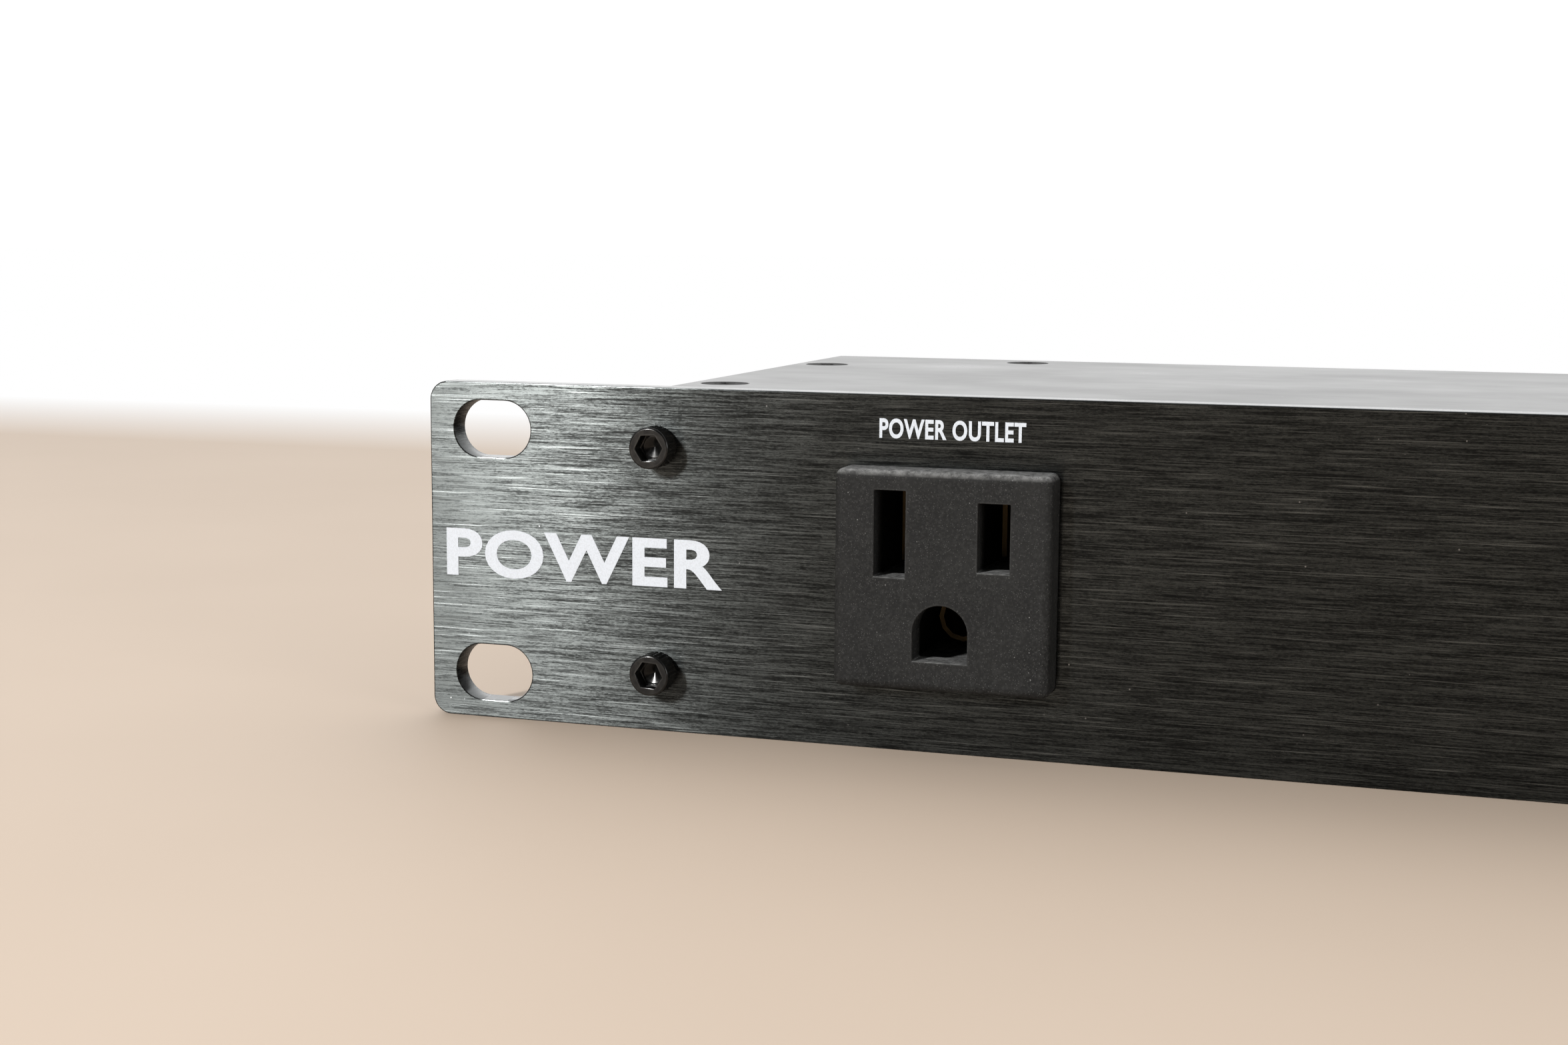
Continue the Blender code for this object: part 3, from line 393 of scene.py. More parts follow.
def outlet_look(name, dusty):
    """Charcoal moulded plastic with a fine spark-eroded texture, settled dust, and rounded edges painted lighter:
    rubbed wear and a painted highlight.
    """
    look = Look(name, (0.02, 0.02, 0.02), 0.72, Specular_IOR_Level=0.18)
    texture = look.noise((3.0, 3.0, 3.0), 4.0, 0.65)
    cloud = look.noise((0.16, 0.16, 0.16), 3.0, 0.6)
    shade = look.blend(look.spread(cloud, 0.35, 0.7), (0.006, 0.006, 0.0058), (0.011, 0.011, 0.0105))
    shade = look.blend(look.spread(texture, 0.45, 0.68, 0.0, 0.7), shade, (0.027, 0.027, 0.026))
    # Rounded edges painted lighter: partly rubbed wear, partly a painted highlight.
    shade = look.blend(look.maths("MULTIPLY", look.edges(), 0.35), shade, (0.07, 0.07, 0.068))
    if dusty:
        film = look.spread(look.noise((1.2, 1.2, 1.2), 4.0, 0.7), 0.35, 0.65, 0.2, 0.9)
        shade = look.blend(look.maths("MULTIPLY", facing_up(look), film), shade, (0.27, 0.27, 0.264))
        shade = look.blend(dust(look, 0.26, 0.42, 0.26), shade, (0.05, 0.05, 0.048))
        shade = look.blend(dust(look, 0.8, 0.56, 0.11), shade, (0.16, 0.16, 0.155))
    look.colour(shade)
    look.roughness(look.spread(texture, 0.3, 0.7, 0.64, 0.82))
    look.bump(texture, 0.03, 0.6)
    return look.material


def gloss_look():
    """Satin black moulded plastic."""
    look = Look("switch_plastic", (0.018, 0.018, 0.019), 0.3)
    texture = look.noise((1.6, 1.6, 1.6), 3.0)
    look.colour(look.blend(texture, (0.012, 0.012, 0.013), (0.022, 0.022, 0.024)))
    look.roughness(look.spread(texture, 0.3, 0.7, 0.26, 0.38))
    look.bump(texture, 0.01, 0.35)
    return look.material


def metal_look(name, dark, bright, roughness, streak=(1.0, 1.0, 1.0)):
    """Bare or plated metal with a faint directional finish."""
    look = Look(name, bright, roughness, 1.0)
    finish = look.noise(streak, 4.0, 0.6)
    look.colour(look.blend(finish, dark, bright))
    look.roughness(look.spread(finish, 0.3, 0.7, roughness - 0.08, roughness + 0.1))
    look.bump(finish, 0.006, 0.4)
    return look.material


def plain_look(name, dark, bright, roughness, grain=1.0):
    """A coated or moulded surface whose colour drifts a little between two shades."""
    look = Look(name, bright, roughness)
    drift = look.noise((grain, grain, grain), 3.0)
    look.colour(look.blend(look.spread(drift, 0.3, 0.7), dark, bright))
    look.roughness(look.spread(drift, 0.3, 0.7, roughness - 0.06, roughness + 0.08))
    look.bump(drift, 0.01, 0.4)
    return look.material


def ink_look():
    """White screen-printed ink."""
    look = Look("white_ink", (0.62, 0.65, 0.7), 0.6, Specular_IOR_Level=0.25)
    speckle = look.noise((5, 5, 5), 2.0)
    look.colour(look.blend(look.spread(speckle, 0.3, 0.6), (0.46, 0.485, 0.515), (0.53, 0.56, 0.6)))
    look.roughness(look.spread(speckle, 0.3, 0.7, 0.5, 0.7))
    return look.material


def lens_look():
    """The clear green lens of the indicator."""
    look = Look("indicator_lens", (0.05, 0.5, 0.12), 0.12, Transmission_Weight=0.35, IOR=1.5)
    drift = look.noise((0.8, 0.8, 0.8), 2.0)
    look.colour(look.blend(drift, (0.03, 0.4, 0.08), (0.1, 0.62, 0.2)))
    return look.material


LOOKS = {
    "anodised_panel": anodised_look(),
    "powder_coat": powder_look(),
    "black_oxide_screw": oxide_look(),
    "black_oxide_dull": dull_oxide_look(),
    "outlet_plastic": outlet_look("outlet_plastic", True),
    "outlet_plastic_rear": outlet_look("outlet_plastic_rear", False),
    "switch_plastic": gloss_look(),
    # The brass is kept very dark: tarnish, and partly painted shade for the contacts deep in the outlets'
    # chambers.
    "contact_brass": metal_look("contact_brass", (0.1, 0.07, 0.035), (0.2, 0.145, 0.075), 0.5),
    "zinc_steel": metal_look("zinc_steel", (0.42, 0.42, 0.44), (0.66, 0.66, 0.68), 0.32, (2, 2, 2)),
    "indicator_lens": lens_look(),
    "nylon": plain_look("nylon", (0.7, 0.68, 0.6), (0.85, 0.84, 0.78), 0.45, 0.6),
    "circuit_board": plain_look("circuit_board", (0.015, 0.12, 0.04), (0.03, 0.2, 0.07), 0.4, 0.3),
    "varistor_coating": plain_look("varistor_coating", (0.05, 0.13, 0.42), (0.08, 0.2, 0.55), 0.35),
    "capacitor_case": plain_look("capacitor_case", (0.62, 0.48, 0.08), (0.78, 0.62, 0.14), 0.4),
    "ferrite": plain_look("ferrite", (0.06, 0.15, 0.08), (0.11, 0.24, 0.13), 0.55, 1.2),
    "wire_black": plain_look("wire_black", (0.015, 0.015, 0.015), (0.03, 0.03, 0.03), 0.45),
    "wire_white": plain_look("wire_white", (0.66, 0.66, 0.64), (0.8, 0.8, 0.78), 0.45),
    "wire_green": plain_look("wire_green", (0.02, 0.26, 0.07), (0.03, 0.36, 0.1), 0.45),
    "white_ink": ink_look(),
}


# --- meshes --------------------------------------------------------------------------------------


def closed(name, work):
    """Turns work in millimetres into a mesh in metres, with its faces turned outwards."""
    bmesh.ops.scale(work, vec=(MM, MM, MM), verts=work.verts)
    bmesh.ops.recalc_face_normals(work, faces=work.faces)
    mesh = bpy.data.meshes.new(name)
    work.to_mesh(mesh)
    work.free()
    return mesh


def boxes(name, spans):
    """One mesh of separate boxes, each given as its low and high corners."""
    work = bmesh.new()
    for low, high in spans:
        low, high = Vector(low), Vector(high)
        verts = bmesh.ops.create_cube(work, size=1.0)["verts"]
        bmesh.ops.scale(work, vec=high - low, verts=verts)
        bmesh.ops.translate(work, vec=(low + high) / 2, verts=verts)
    return closed(name, work)


def edges_along(verts, axis):
    """The edges of those vertices that run along an axis, 0 to 2."""
    edges = {edge for vert in verts for edge in vert.link_edges}
    return [e for e in edges if abs((e.verts[0].co - e.verts[1].co).normalized()[axis]) > 0.9]


def slabs(name, places, size, low, high, corner, steps=8, top_only=False):
    """Plates facing along Y, width by height about each (x, z) place, with rounded corners."""
    work = bmesh.new()
    for x, z in places:
        verts = bmesh.ops.create_cube(work, size=1.0)["verts"]
        bmesh.ops.scale(work, vec=(size[0], high - low, size[1]), verts=verts)
        bmesh.ops.translate(work, vec=(x, (low + high) / 2, z), verts=verts)
        along = [e for e in edges_along(verts, 1) if not top_only or e.verts[0].co.z > z]
        bmesh.ops.bevel(work, geom=along, offset=corner, segments=steps, profile=0.5, affect="EDGES")
    return closed(name, work)


def lathe(name, profile, places=((0, 0),), axis="Y", segments=48, knurl=None):
    """Closed turned solids from (radius, height) points. A knurl is (its points, teeth, depth)."""
    rows, teeth, cut = knurl or ((), 0, 0.0)
    work = bmesh.new()
    for place in places:
        rings = []
        for number, (radius, height) in enumerate(profile):
            if radius == 0:
                rings.append([work.verts.new(at_axis(0, 0, height, place, axis))])
                continue
            depth = cut if number in rows else 0.0
            ring = []
            for step in range(segments):
                turn = 2 * math.pi * step / segments
                reach = radius - depth * (0.5 - 0.5 * math.cos(teeth * turn))
                point = at_axis(reach * math.cos(turn), reach * math.sin(turn), height, place, axis)
                ring.append(work.verts.new(point))
            rings.append(ring)
        for first, second in zip(rings, rings[1:]):
            for step in range(segments):
                after = (step + 1) % segments
                if len(first) == 1:
                    work.faces.new((first[0], second[after], second[step]))
                elif len(second) == 1:
                    work.faces.new((first[step], first[after], second[0]))
                else:
                    work.faces.new((first[step], first[after], second[after], second[step]))
        for ring in (rings[0], rings[-1]):
            if len(ring) > 1 and profile[0] != profile[-1]:
                work.faces.new(ring)
    return closed(name, work)


def at_axis(across, over, along, place, axis):
    """A point of a turned solid about an axis through a place: (x, z) for Y, and (x, y) for Z."""
    if axis == "Y":
        return (place[0] + across, along, place[1] + over)
    return (place[0] + across, place[1] + over, along)


def rod(name, low, high, radius, places=((0, 0),), axis="Y", segments=32, end_radius=None):
    """Plain cylinders or cones, from low to high."""
    end = radius if end_radius is None else end_radius
    return lathe(name, [(radius, low), (end, high)], places, axis, segments)


def outline(name, points, low, high):
    """A closed outline of (y, z) points, drawn out along X."""
    work = bmesh.new()
    face = work.faces.new([work.verts.new((low, y, z)) for y, z in points])
    drawn = bmesh.ops.extrude_face_region(work, geom=[face])["geom"]
    moved = [item for item in drawn if isinstance(item, bmesh.types.BMVert)]
    bmesh.ops.translate(work, vec=(high - low, 0, 0), verts=moved)
    return closed(name, work)


def arc(centre, radius, first, last, steps):
    """Points on an arc, by angles in degrees."""
    turns = [math.radians(first + (last - first) * step / steps) for step in range(steps + 1)]
    return [(centre[0] + radius * math.cos(t), centre[1] + radius * math.sin(t)) for t in turns]


def keep_flat(mesh):
    """Ends the smooth shading at the border of every face that is square to an axis."""
    work = bmesh.new()
    work.from_mesh(mesh)
    for edge in work.edges:
        square = [max(abs(value) for value in face.normal) > 0.99999 for face in edge.link_faces]
        if any(square) and not all(square):
            edge.smooth = False
    work.to_mesh(mesh)
    work.free()


class Shape:
    """A mesh that is cut, joined and rounded by modifiers, and then fixed."""

    def __init__(self, mesh):
        self.obj = bpy.data.objects.new(mesh.name, mesh)
        bpy.context.collection.objects.link(self.obj)
        self.tools = []

    def combine(self, operation, meshes):
        for mesh in meshes:
            tool = bpy.data.objects.new(mesh.name, mesh)
            bpy.context.collection.objects.link(tool)
            made = self.obj.modifiers.new(mesh.name, "BOOLEAN")
            made.operation = operation
            made.object = tool
            made.solver = "EXACT"
            self.tools.append(tool)
        return self

    def cut(self, *meshes):
        return self.combine("DIFFERENCE", meshes)

    def join(self, *meshes):
        return self.combine("UNION", meshes)

    def round(self, width, steps=3, angle=50):
        made = self.obj.modifiers.new("round", "BEVEL")
        made.width = width * MM
        made.segments = steps
        made.limit_method = "ANGLE"
        made.angle_limit = math.radians(angle)
        made.use_clamp_overlap = True
        return self

    def mesh(self, name, smooth=35):
        """The finished mesh, smooth but for flat faces and edges sharper than that many degrees."""
        self.obj.data.shade_smooth()
        bpy.context.view_layer.update()
        graph = bpy.context.evaluated_depsgraph_get()
        mesh = bpy.data.meshes.new_from_object(self.obj.evaluated_get(graph))
        mesh.name = name
        mesh.set_sharp_from_angle(angle=math.radians(smooth))
        keep_flat(mesh)
        for obj in (self.obj, *self.tools):
            bpy.data.objects.remove(obj, do_unlink=True)
        return mesh


def piece(name, mesh, slot, node=None, body="chassis", look=None, at=(0, 0, 0), turn=(0, 0, 0)):
    """A finished piece in its place: it rides on a body and may stand for a CAD node."""
    obj = bpy.data.objects.new(name, mesh)
    bpy.context.collection.objects.link(obj)
    obj.location = Vector(at) * MM
    obj.rotation_euler = [math.radians(angle) for angle in turn]
    if not mesh.materials:
        mesh.materials.append(LOOKS[look or slot])
    bpy.context.view_layer.update()
    if node:
        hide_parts(node)
    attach(obj, body)
    return obj


def opening(x, z, width, height, low, high, clear=CLEAR):
    """The corners of a box that clears a piece of that width and height, from low to high in Y."""
    reach = (width / 2 + clear, height / 2 + clear)
    return ((x - reach[0], low, z - reach[1]), (x + reach[0], high, z + reach[1]))


# --- case ----------------------------------------------------------------------------------------


def grain_uv(mesh):
    """A UV map whose U runs up the panel, across the brushing."""
    layer = mesh.uv_layers.new(name="grain")
    for loop in mesh.loops:
        spot = mesh.vertices[loop.vertex_index].co
        layer.data[loop.index].uv = (spot.z + spot.y, spot.x)


def front_panel():
    width = PANEL_HIGH.x - PANEL_LOW.x
    height = PANEL_HIGH.z - PANEL_LOW.z
    back = PANEL_HIGH.y
    through = (FRONT - 1, back + 1)
    inset = PANEL_HIGH.x - RACK_SLOT_INSET
    slots = [(s * inset, MIDDLE + u * RACK_SLOT_SPREAD / 2) for s in (-1, 1) for u in (-1, 1)]
    shape = Shape(slabs("panel", [(0, MIDDLE)], (width, height), FRONT, back, PANEL_CORNER, 10))
    shape.cut(slabs("slots", slots, RACK_SLOT, *through, RACK_SLOT[1] / 2 - SLIVER, steps=14))
    shape.round(PANEL_EDGE, 2)
    side = OUTLET_SIDE + 2 * SNUG
    outlet = [(FRONT_OUTLET_X, OUTLET_Z)]
    rocker = opening(SWITCH_X, MIDDLE, SWITCH_BODY[0], SWITCH_BODY[2], *through, SNUG)
    shape.cut(
        slabs("outlet_opening", outlet, (side, side), *through, OUTLET_ROUND, 6),
        boxes("switch_opening", [rocker]),
        rod("screw_holes", *through, PANEL_SCREW_HOLE, PANEL_SCREW_PLACES),
        rod("indicator_hole", *through, INDICATOR_HOLE, [(INDICATOR_X, MIDDLE)]),
    )
    mesh = shape.mesh("front_panel_brushed")
    grain_uv(mesh)
    piece("front_panel_brushed", mesh, "anodised_panel", "front_panel")


def top_cover():
    """The flat cover, with cones for its screws that open at 45 degrees."""
    shape = Shape(boxes("cover", [(COVER_LOW, COVER_HIGH)]))
    reach = 0.5
    wide = COVER_SCREW[0][0] + CLEAR / 2
    cone = rod(
        "countersinks",
        COVER_LOW.z - reach,
        COVER_HIGH.z + reach,
        wide - SHEET - reach,
        COVER_SCREW_PLACES,
        "Z",
        end_radius=wide + reach,
    )
    mesh = shape.cut(cone).round(0.25, 2, 60).mesh("top_cover_coated")
    piece("top_cover_coated", mesh, "powder_coat", "top_cover")


def folded_tray():
    """The tray with the bend radii of folded sheet at its outer corners."""
    low, high = TRAY_LOW, TRAY_HIGH
    side = high.x - SHEET
    inside_front = low.y + SHEET
    inside_top = high.z - SHEET
    work = bmesh.new()
    verts = bmesh.ops.create_cube(work, size=1.0)["verts"]
    bmesh.ops.scale(work, vec=high - low, verts=verts)
    bmesh.ops.translate(work, vec=(low + high) / 2, verts=verts)
    bent = edges_along(verts, 2)
    bent += [e for axis in (0, 1) for e in edges_along(verts, axis) if e.verts[0].co.z < 1]
    bmesh.ops.bevel(work, geom=bent, offset=BEND, segments=4, profile=0.5, affect="EDGES")
    shape = Shape(closed("tray", work))
    mouth_low = (SIDE_FLANGE - side, inside_front + FRONT_FLANGE, inside_top - 1)
    mouth_high = (side - SIDE_FLANGE, REAR - SHEET - REAR_FLANGE, high.z + 1)
    shape.cut(
        boxes("inside", [((-side, inside_front, SHEET), (side, REAR - SHEET, inside_top))]),
        boxes("mouth", [(mouth_low, mouth_high)]),
    )
    nut_radius, nut_bore, nut_deep = CLINCH_NUT
    nuts = (inside_front - SHEET / 2, inside_front + nut_deep)
    stud = node_middle("earth_nut")
    shape.join(
        rod("clinch_nuts", *nuts, nut_radius, PANEL_SCREW_PLACES, segments=24),
        rod("stud", SHEET / 2, STUD[1], STUD[0], [(stud.x, stud.y)], "Z", segments=24),
    )
    front = (low.y - 1, inside_front + 1)
    front_holes = [
        opening(FRONT_OUTLET_X, OUTLET_Z, OUTLET_SIDE, OUTLET_SIDE, *front),
        opening(SWITCH_X, MIDDLE, SWITCH_BODY[0], SWITCH_BODY[2], *front),
    ]
    rear = (REAR - SHEET - 1, REAR + 1)
    holes = [opening(x, OUTLET_Z, OUTLET_SIDE, OUTLET_SIDE, *rear) for x in REAR_OUTLET_X]
    holes.append(opening(INLET_X, MIDDLE, INLET_BODY[0], INLET_BODY[2], *rear))
    inlet_screws = [(INLET_X + sign * INLET_SCREW_X, MIDDLE) for sign in (-1, 1)]
    feet = [node_middle(f"board_standoff_{n}") for n in range(1, 5)]
    through = (low.y - 1, nuts[1] + 1)
    top = (inside_top - 1, high.z + 1)
    shape.cut(
        boxes("front_openings", front_holes),
        boxes("rear_openings", holes),
        rod("screw_holes", *through, nut_bore, PANEL_SCREW_PLACES, segments=24),
        rod("indicator_hole", *through, INDICATOR_HOLE, [(INDICATOR_X, MIDDLE)]),
        rod("breaker_hole", *rear, BREAKER_HOLE, [(BREAKER_X, MIDDLE)]),
        rod("inlet_holes", *rear, INLET_SCREW_HOLE, inlet_screws, segments=24),
        rod("tap_holes", *top, COVER_SCREW_HOLE, COVER_SCREW_PLACES, "Z", segments=24),
        rod("foot_holes", -1, SHEET + 1, FOOT_HOLE, [(f.x, f.y) for f in feet], "Z", segments=24),
    )
    piece("chassis_tray_coated", shape.mesh("chassis_tray_coated"), "powder_coat", "chassis_tray")


# --- fasteners -----------------------------------------------------------------------------------


def cap_screw_mesh(turn):
    """A knurled socket cap screw facing -Y, with the panel's face at 0. The turn is its socket's."""
    top, radius = -CAP_HEAD[1], CAP_HEAD[0]
    shank, end = CAP_SHANK
    seat = -0.05
    rim = [(radius - h, top + v) for h, v in ((0.26, 0.0), (0.17, 0.02), (0.08, 0.09), (0.02, 0.2))]
    profile = [
        *rim,
        (radius, top + 0.34),
        (radius, top + 0.44),
        (radius, -0.4),
        (radius - 0.15, seat),
        (shank, seat),
        (shank, end),
        (0, end),
    ]
    knurled = (5, 6)  # the two points of the profile along the head's side
    blank = lathe("cap_screw", profile, segments=5 * CAP_TEETH, knurl=(knurled, CAP_TEETH, CAP_TOOTH))
    socket = [(CAP_SOCKET, top - 1), (CAP_SOCKET, top + CAP_SOCKET_DEEP)]
    hexagon = lathe("socket", socket, segments=6)
    hexagon.transform(Matrix.Rotation(math.radians(turn), 4, "Y"))
    drill = rod("drill_point", top + 1.8, top + 2.35, CAP_SOCKET * 0.86, end_radius=0.05)
    return Shape(blank).cut(hexagon, drill).round(0.08, 3, 50).mesh("panel_screw_turned", 30)


def flat_screw_mesh(name, head, shank, segments=40):
    """A countersunk screw with a tapered cross recess, with its top at 0 and its shank down -Z."""
    profile = [
        (0, 0),
        (head[0] - 0.12, 0),
        (head[0], -0.08),
        (head[0], -0.18),
        (shank[0], -head[1]),
        (shank[0], -shank[1]),
        (0, -shank[1]),
    ]
    shape = Shape(lathe(name, profile, axis="Z", segments=segments))
    arm = head[0] * 0.6
    half, deep = RECESS
    for turn in (0, 90):
        blade = boxes(f"arm_{turn}", [((-arm, -half, -deep), (arm, half, deep))])
        for vert in blade.vertices:
            if vert.co.z < 0:
                vert.co.x *= 0.45
                vert.co.y *= 0.75
        blade.transform(Matrix.Rotation(math.radians(turn), 4, "Z"))
        shape.cut(blade)
    shape.cut(rod("recess_mouth", -0.35, 0.3, 0.55, axis="Z", segments=16, end_radius=1.5))
    return shape.round(0.05, 1, 55).mesh(name, 30)


def fasteners():
    for number, (spot, turn) in enumerate(zip(PANEL_SCREWS, CAP_TURNS), 1):
        mesh = cap_screw_mesh(turn)
        at = (spot.x, FRONT, spot.z)
        piece(f"panel_cap_screw_{number}", mesh, "black_oxide_screw", f"panel_screw_{number}", at=at)
    flat = flat_screw_mesh("cover_flat_screw", *COVER_SCREW)
    for number, spot in enumerate(COVER_SCREWS, 1):
        node = f"cover_screw_{number}"
        at = (spot.x, spot.y, COVER_HIGH.z)
        name = f"cover_flat_screw_{number}"
        turn = (0, 0, 27 * number)  # each recess stands at its own angle
        piece(name, flat, "black_oxide_screw", node, look="black_oxide_dull", at=at, turn=turn)


# --- outlets -------------------------------------------------------------------------------------


def outlet_mesh(name, shoulder_at):
    """An outlet facing -Y from the wall's outer face at 0, with open chambers behind its slots."""
    half = OUTLET_SIDE / 2
    block = boxes("outlet", [((-half, -OUTLET_PROUD, -half), (half, OUTLET_DEEP, half))])
    shape = Shape(block).round(OUTLET_ROUND, 6)
    wide, shoulder_end = OUTLET_SHOULDER[0] / 2, shoulder_at + OUTLET_SHOULDER[1]
    shape.join(boxes("shoulder", [((-wide, shoulder_at, -wide), (wide, shoulder_end, wide))]))
    front, back = -OUTLET_PROUD - 1, OUTLET_DEEP + 1
    chamber = (SLOT_LIP - OUTLET_PROUD, CHAMBER_END)
    slots, chambers = [], []
    for x, height in ((-BLADE_X, NEUTRAL_SLOT), (BLADE_X, HOT_SLOT)):
        wide, tall = BLADE_SLOT / 2, height / 2
        slots.append(((x - wide, front, BLADE_Z - tall), (x + wide, back, BLADE_Z + tall)))
        wide, tall = wide + CHAMBER_ROOM[0], tall + CHAMBER_ROOM[1]
        chambers.append(((x - wide, chamber[0], BLADE_Z - tall), (x + wide, chamber[1], BLADE_Z + tall)))
    round_top = dict(steps=14, top_only=True)
    hole = (EARTH_HOLE, front, back, EARTH_HOLE[0] / 2 - SLIVER)
    behind = (EARTH_CHAMBER, *chamber, EARTH_CHAMBER[0] / 2 - SLIVER)
    shape.cut(
        boxes("slots", slots),
        slabs("earth", [(0, EARTH_HOLE_Z)], *hole, **round_top),
        boxes("chambers", chambers),
        slabs("earth_chamber", [(0, EARTH_HOLE_Z)], *behind, **round_top),
    )
    return shape.round(0.13, 2, 62).mesh(name, 40)


def outlets():
    front_wall = TRAY_LOW.y + SHEET - FRONT
    at = (FRONT_OUTLET_X, FRONT, OUTLET_Z)
    mesh = outlet_mesh("front_outlet_moulded", front_wall + CLEAR)
    piece("front_outlet_moulded", mesh, "outlet_plastic", "front_outlet", at=at)
    shared = outlet_mesh("rear_outlet_moulded", SHEET + CLEAR)
    for number, x in enumerate(REAR_OUTLET_X, 1):
        piece(
            f"rear_outlet_moulded_{number}",
            shared,
            "outlet_plastic",
            f"rear_outlet_{number}",
            look="outlet_plastic_rear",
            at=(x, REAR, OUTLET_Z),
            turn=(0, 0, 180),
        )


# --- switch and indicator ------------------------------------------------------------------------


def rocker_outline():
    """The rocker's (y, z) section about its axis: a shallow curved valley and round ends."""
    slope = math.tan(ROCKER_TILT)
    bend = slope * ROCKER_VALLEY
    reach = math.sqrt(bend**2 + (1 + slope**2) * (ROCKER_RADIUS**2 - ROCKER_VALLEY**2))
    end = (reach - bend) / (1 + slope**2)
    first = math.degrees(math.atan2(ROCKER_VALLEY + slope * end, end))
    upper = [(-y, z) for z, y in arc((0, 0), ROCKER_RADIUS, first, -40, 16)]
    lower = [(y, -z) for y, z in reversed(upper)]
    return [(-ROCKER_VALLEY, 0.0), *upper, *lower]


def cross_rod(name, radius, half):
    """A cylinder along X about 0."""
    made = rod(name, -half, half, radius, axis="Z", segments=24)
    made.transform(Matrix.Rotation(math.pi / 2, 4, "Y"))
    return made


def switch():
    bezel, body = SWITCH_BEZEL, SWITCH_BODY
    face = -CLEAR - bezel[1]
    shape = Shape(slabs("bezel", [(0, 0)], (bezel[0], bezel[2]), face, 0.0, 1.2))
    low = (-body[0] / 2, face + bezel[1] / 2, -body[2] / 2)
    shape.join(boxes("body", [(low, (body[0] / 2, body[1], body[2] / 2))]))
    wide, high = SWITCH_CAVITY[0] / 2, SWITCH_CAVITY[1] / 2
    slot_wide, slot_high = TERMINAL_SLOT[0] / 2, TERMINAL_SLOT[1] / 2
    start, end = SWITCH_CAVITY_END - 1, body[1] + 1
    blades = [((-slot_wide, start, z - slot_high), (slot_wide, end, z + slot_high)) for z in TERMINAL_Z]
    bore = cross_rod("bore", *TRUNNION_BORE)
    bore.transform(Matrix.Translation((0, ROCKER_AXIS.y * MM - FRONT * MM, 0)))
    shape.cut(
        boxes("cavity", [((-wide, face - 1, -high), (wide, SWITCH_CAVITY_END, high))]),
        boxes("terminal_slots", blades),
        bore,
    )
    mesh = shape.round(0.28, 3, 60).mesh("switch_housing_moulded")
    at = (SWITCH_X, FRONT, MIDDLE)
    piece("switch_housing_moulded", mesh, "switch_plastic", "switch_housing", at=at)
    half = ROCKER_WIDTH / 2
    shape = Shape(outline("rocker", rocker_outline(), -half, half)).round(0.45, 4, 40)
    mesh = shape.join(cross_rod("trunnions", *TRUNNION)).mesh("switch_rocker_moulded")
    rides = {"body": "rocker", "at": ROCKER_AXIS, "turn": (math.degrees(ROCKER_TILT), 0, 0)}
    piece("switch_rocker_moulded", mesh, "switch_plastic", "switch_rocker", **rides)
    switch_marks(rides)


def switch_marks(rides):
    """The bar and ring printed on the two halves of the rocker, which they ride with."""
    outer, inner, half_bar = 1.5, 1.15, 0.2
    bar = boxes("bar", [((-half_bar, -FILM, -outer), (half_bar, FILM, outer))])
    profile = [(inner, -FILM), (outer, -FILM), (outer, FILM), (inner, FILM), (inner, -FILM)]
    depth = ROCKER_VALLEY + math.tan(ROCKER_TILT) * ROCKER_MARK_Z
    for name, mesh, sign in (("on", bar, 1), ("off", lathe("ring", profile), -1)):
        mesh.transform(Matrix.Rotation(sign * ROCKER_TILT, 4, "X"))
        mesh.transform(Matrix.Translation(Vector((0, -depth, sign * ROCKER_MARK_Z)) * MM))
        piece(f"rocker_mark_{name}", mesh, "white_ink", **rides)


def indicator():
    at = (INDICATOR_X, FRONT, MIDDLE)
    profile = [
        (3.0, -1.0),
        (3.25, -1.22),
        (4.2, -1.22),
        (4.75, -1.0),
        (5.0, -0.6),
        (5.0, -0.05),
        (3.9, -0.05),
        (3.9, 8.0),
        (3.0, 8.0),
        (3.0, -1.0),
    ]
    mesh = Shape(lathe("bezel", profile)).mesh("indicator_bezel_moulded")
    piece("indicator_bezel_moulded", mesh, "switch_plastic", "indicator_bezel", at=at)
    nose = [(r, -0.5 - h) for h, r in arc((0, 0), LENS_RADIUS, 0, 90, 8)]
    profile = [*nose, (LENS_RADIUS, 6.5), (0, 6.5)]
    mesh = Shape(lathe("lamp", profile)).mesh("indicator_lens_clear")
    piece("indicator_lens_clear", mesh, "indicator_lens", "indicator_lamp", at=at)


# --- rear fittings -------------------------------------------------------------------------------


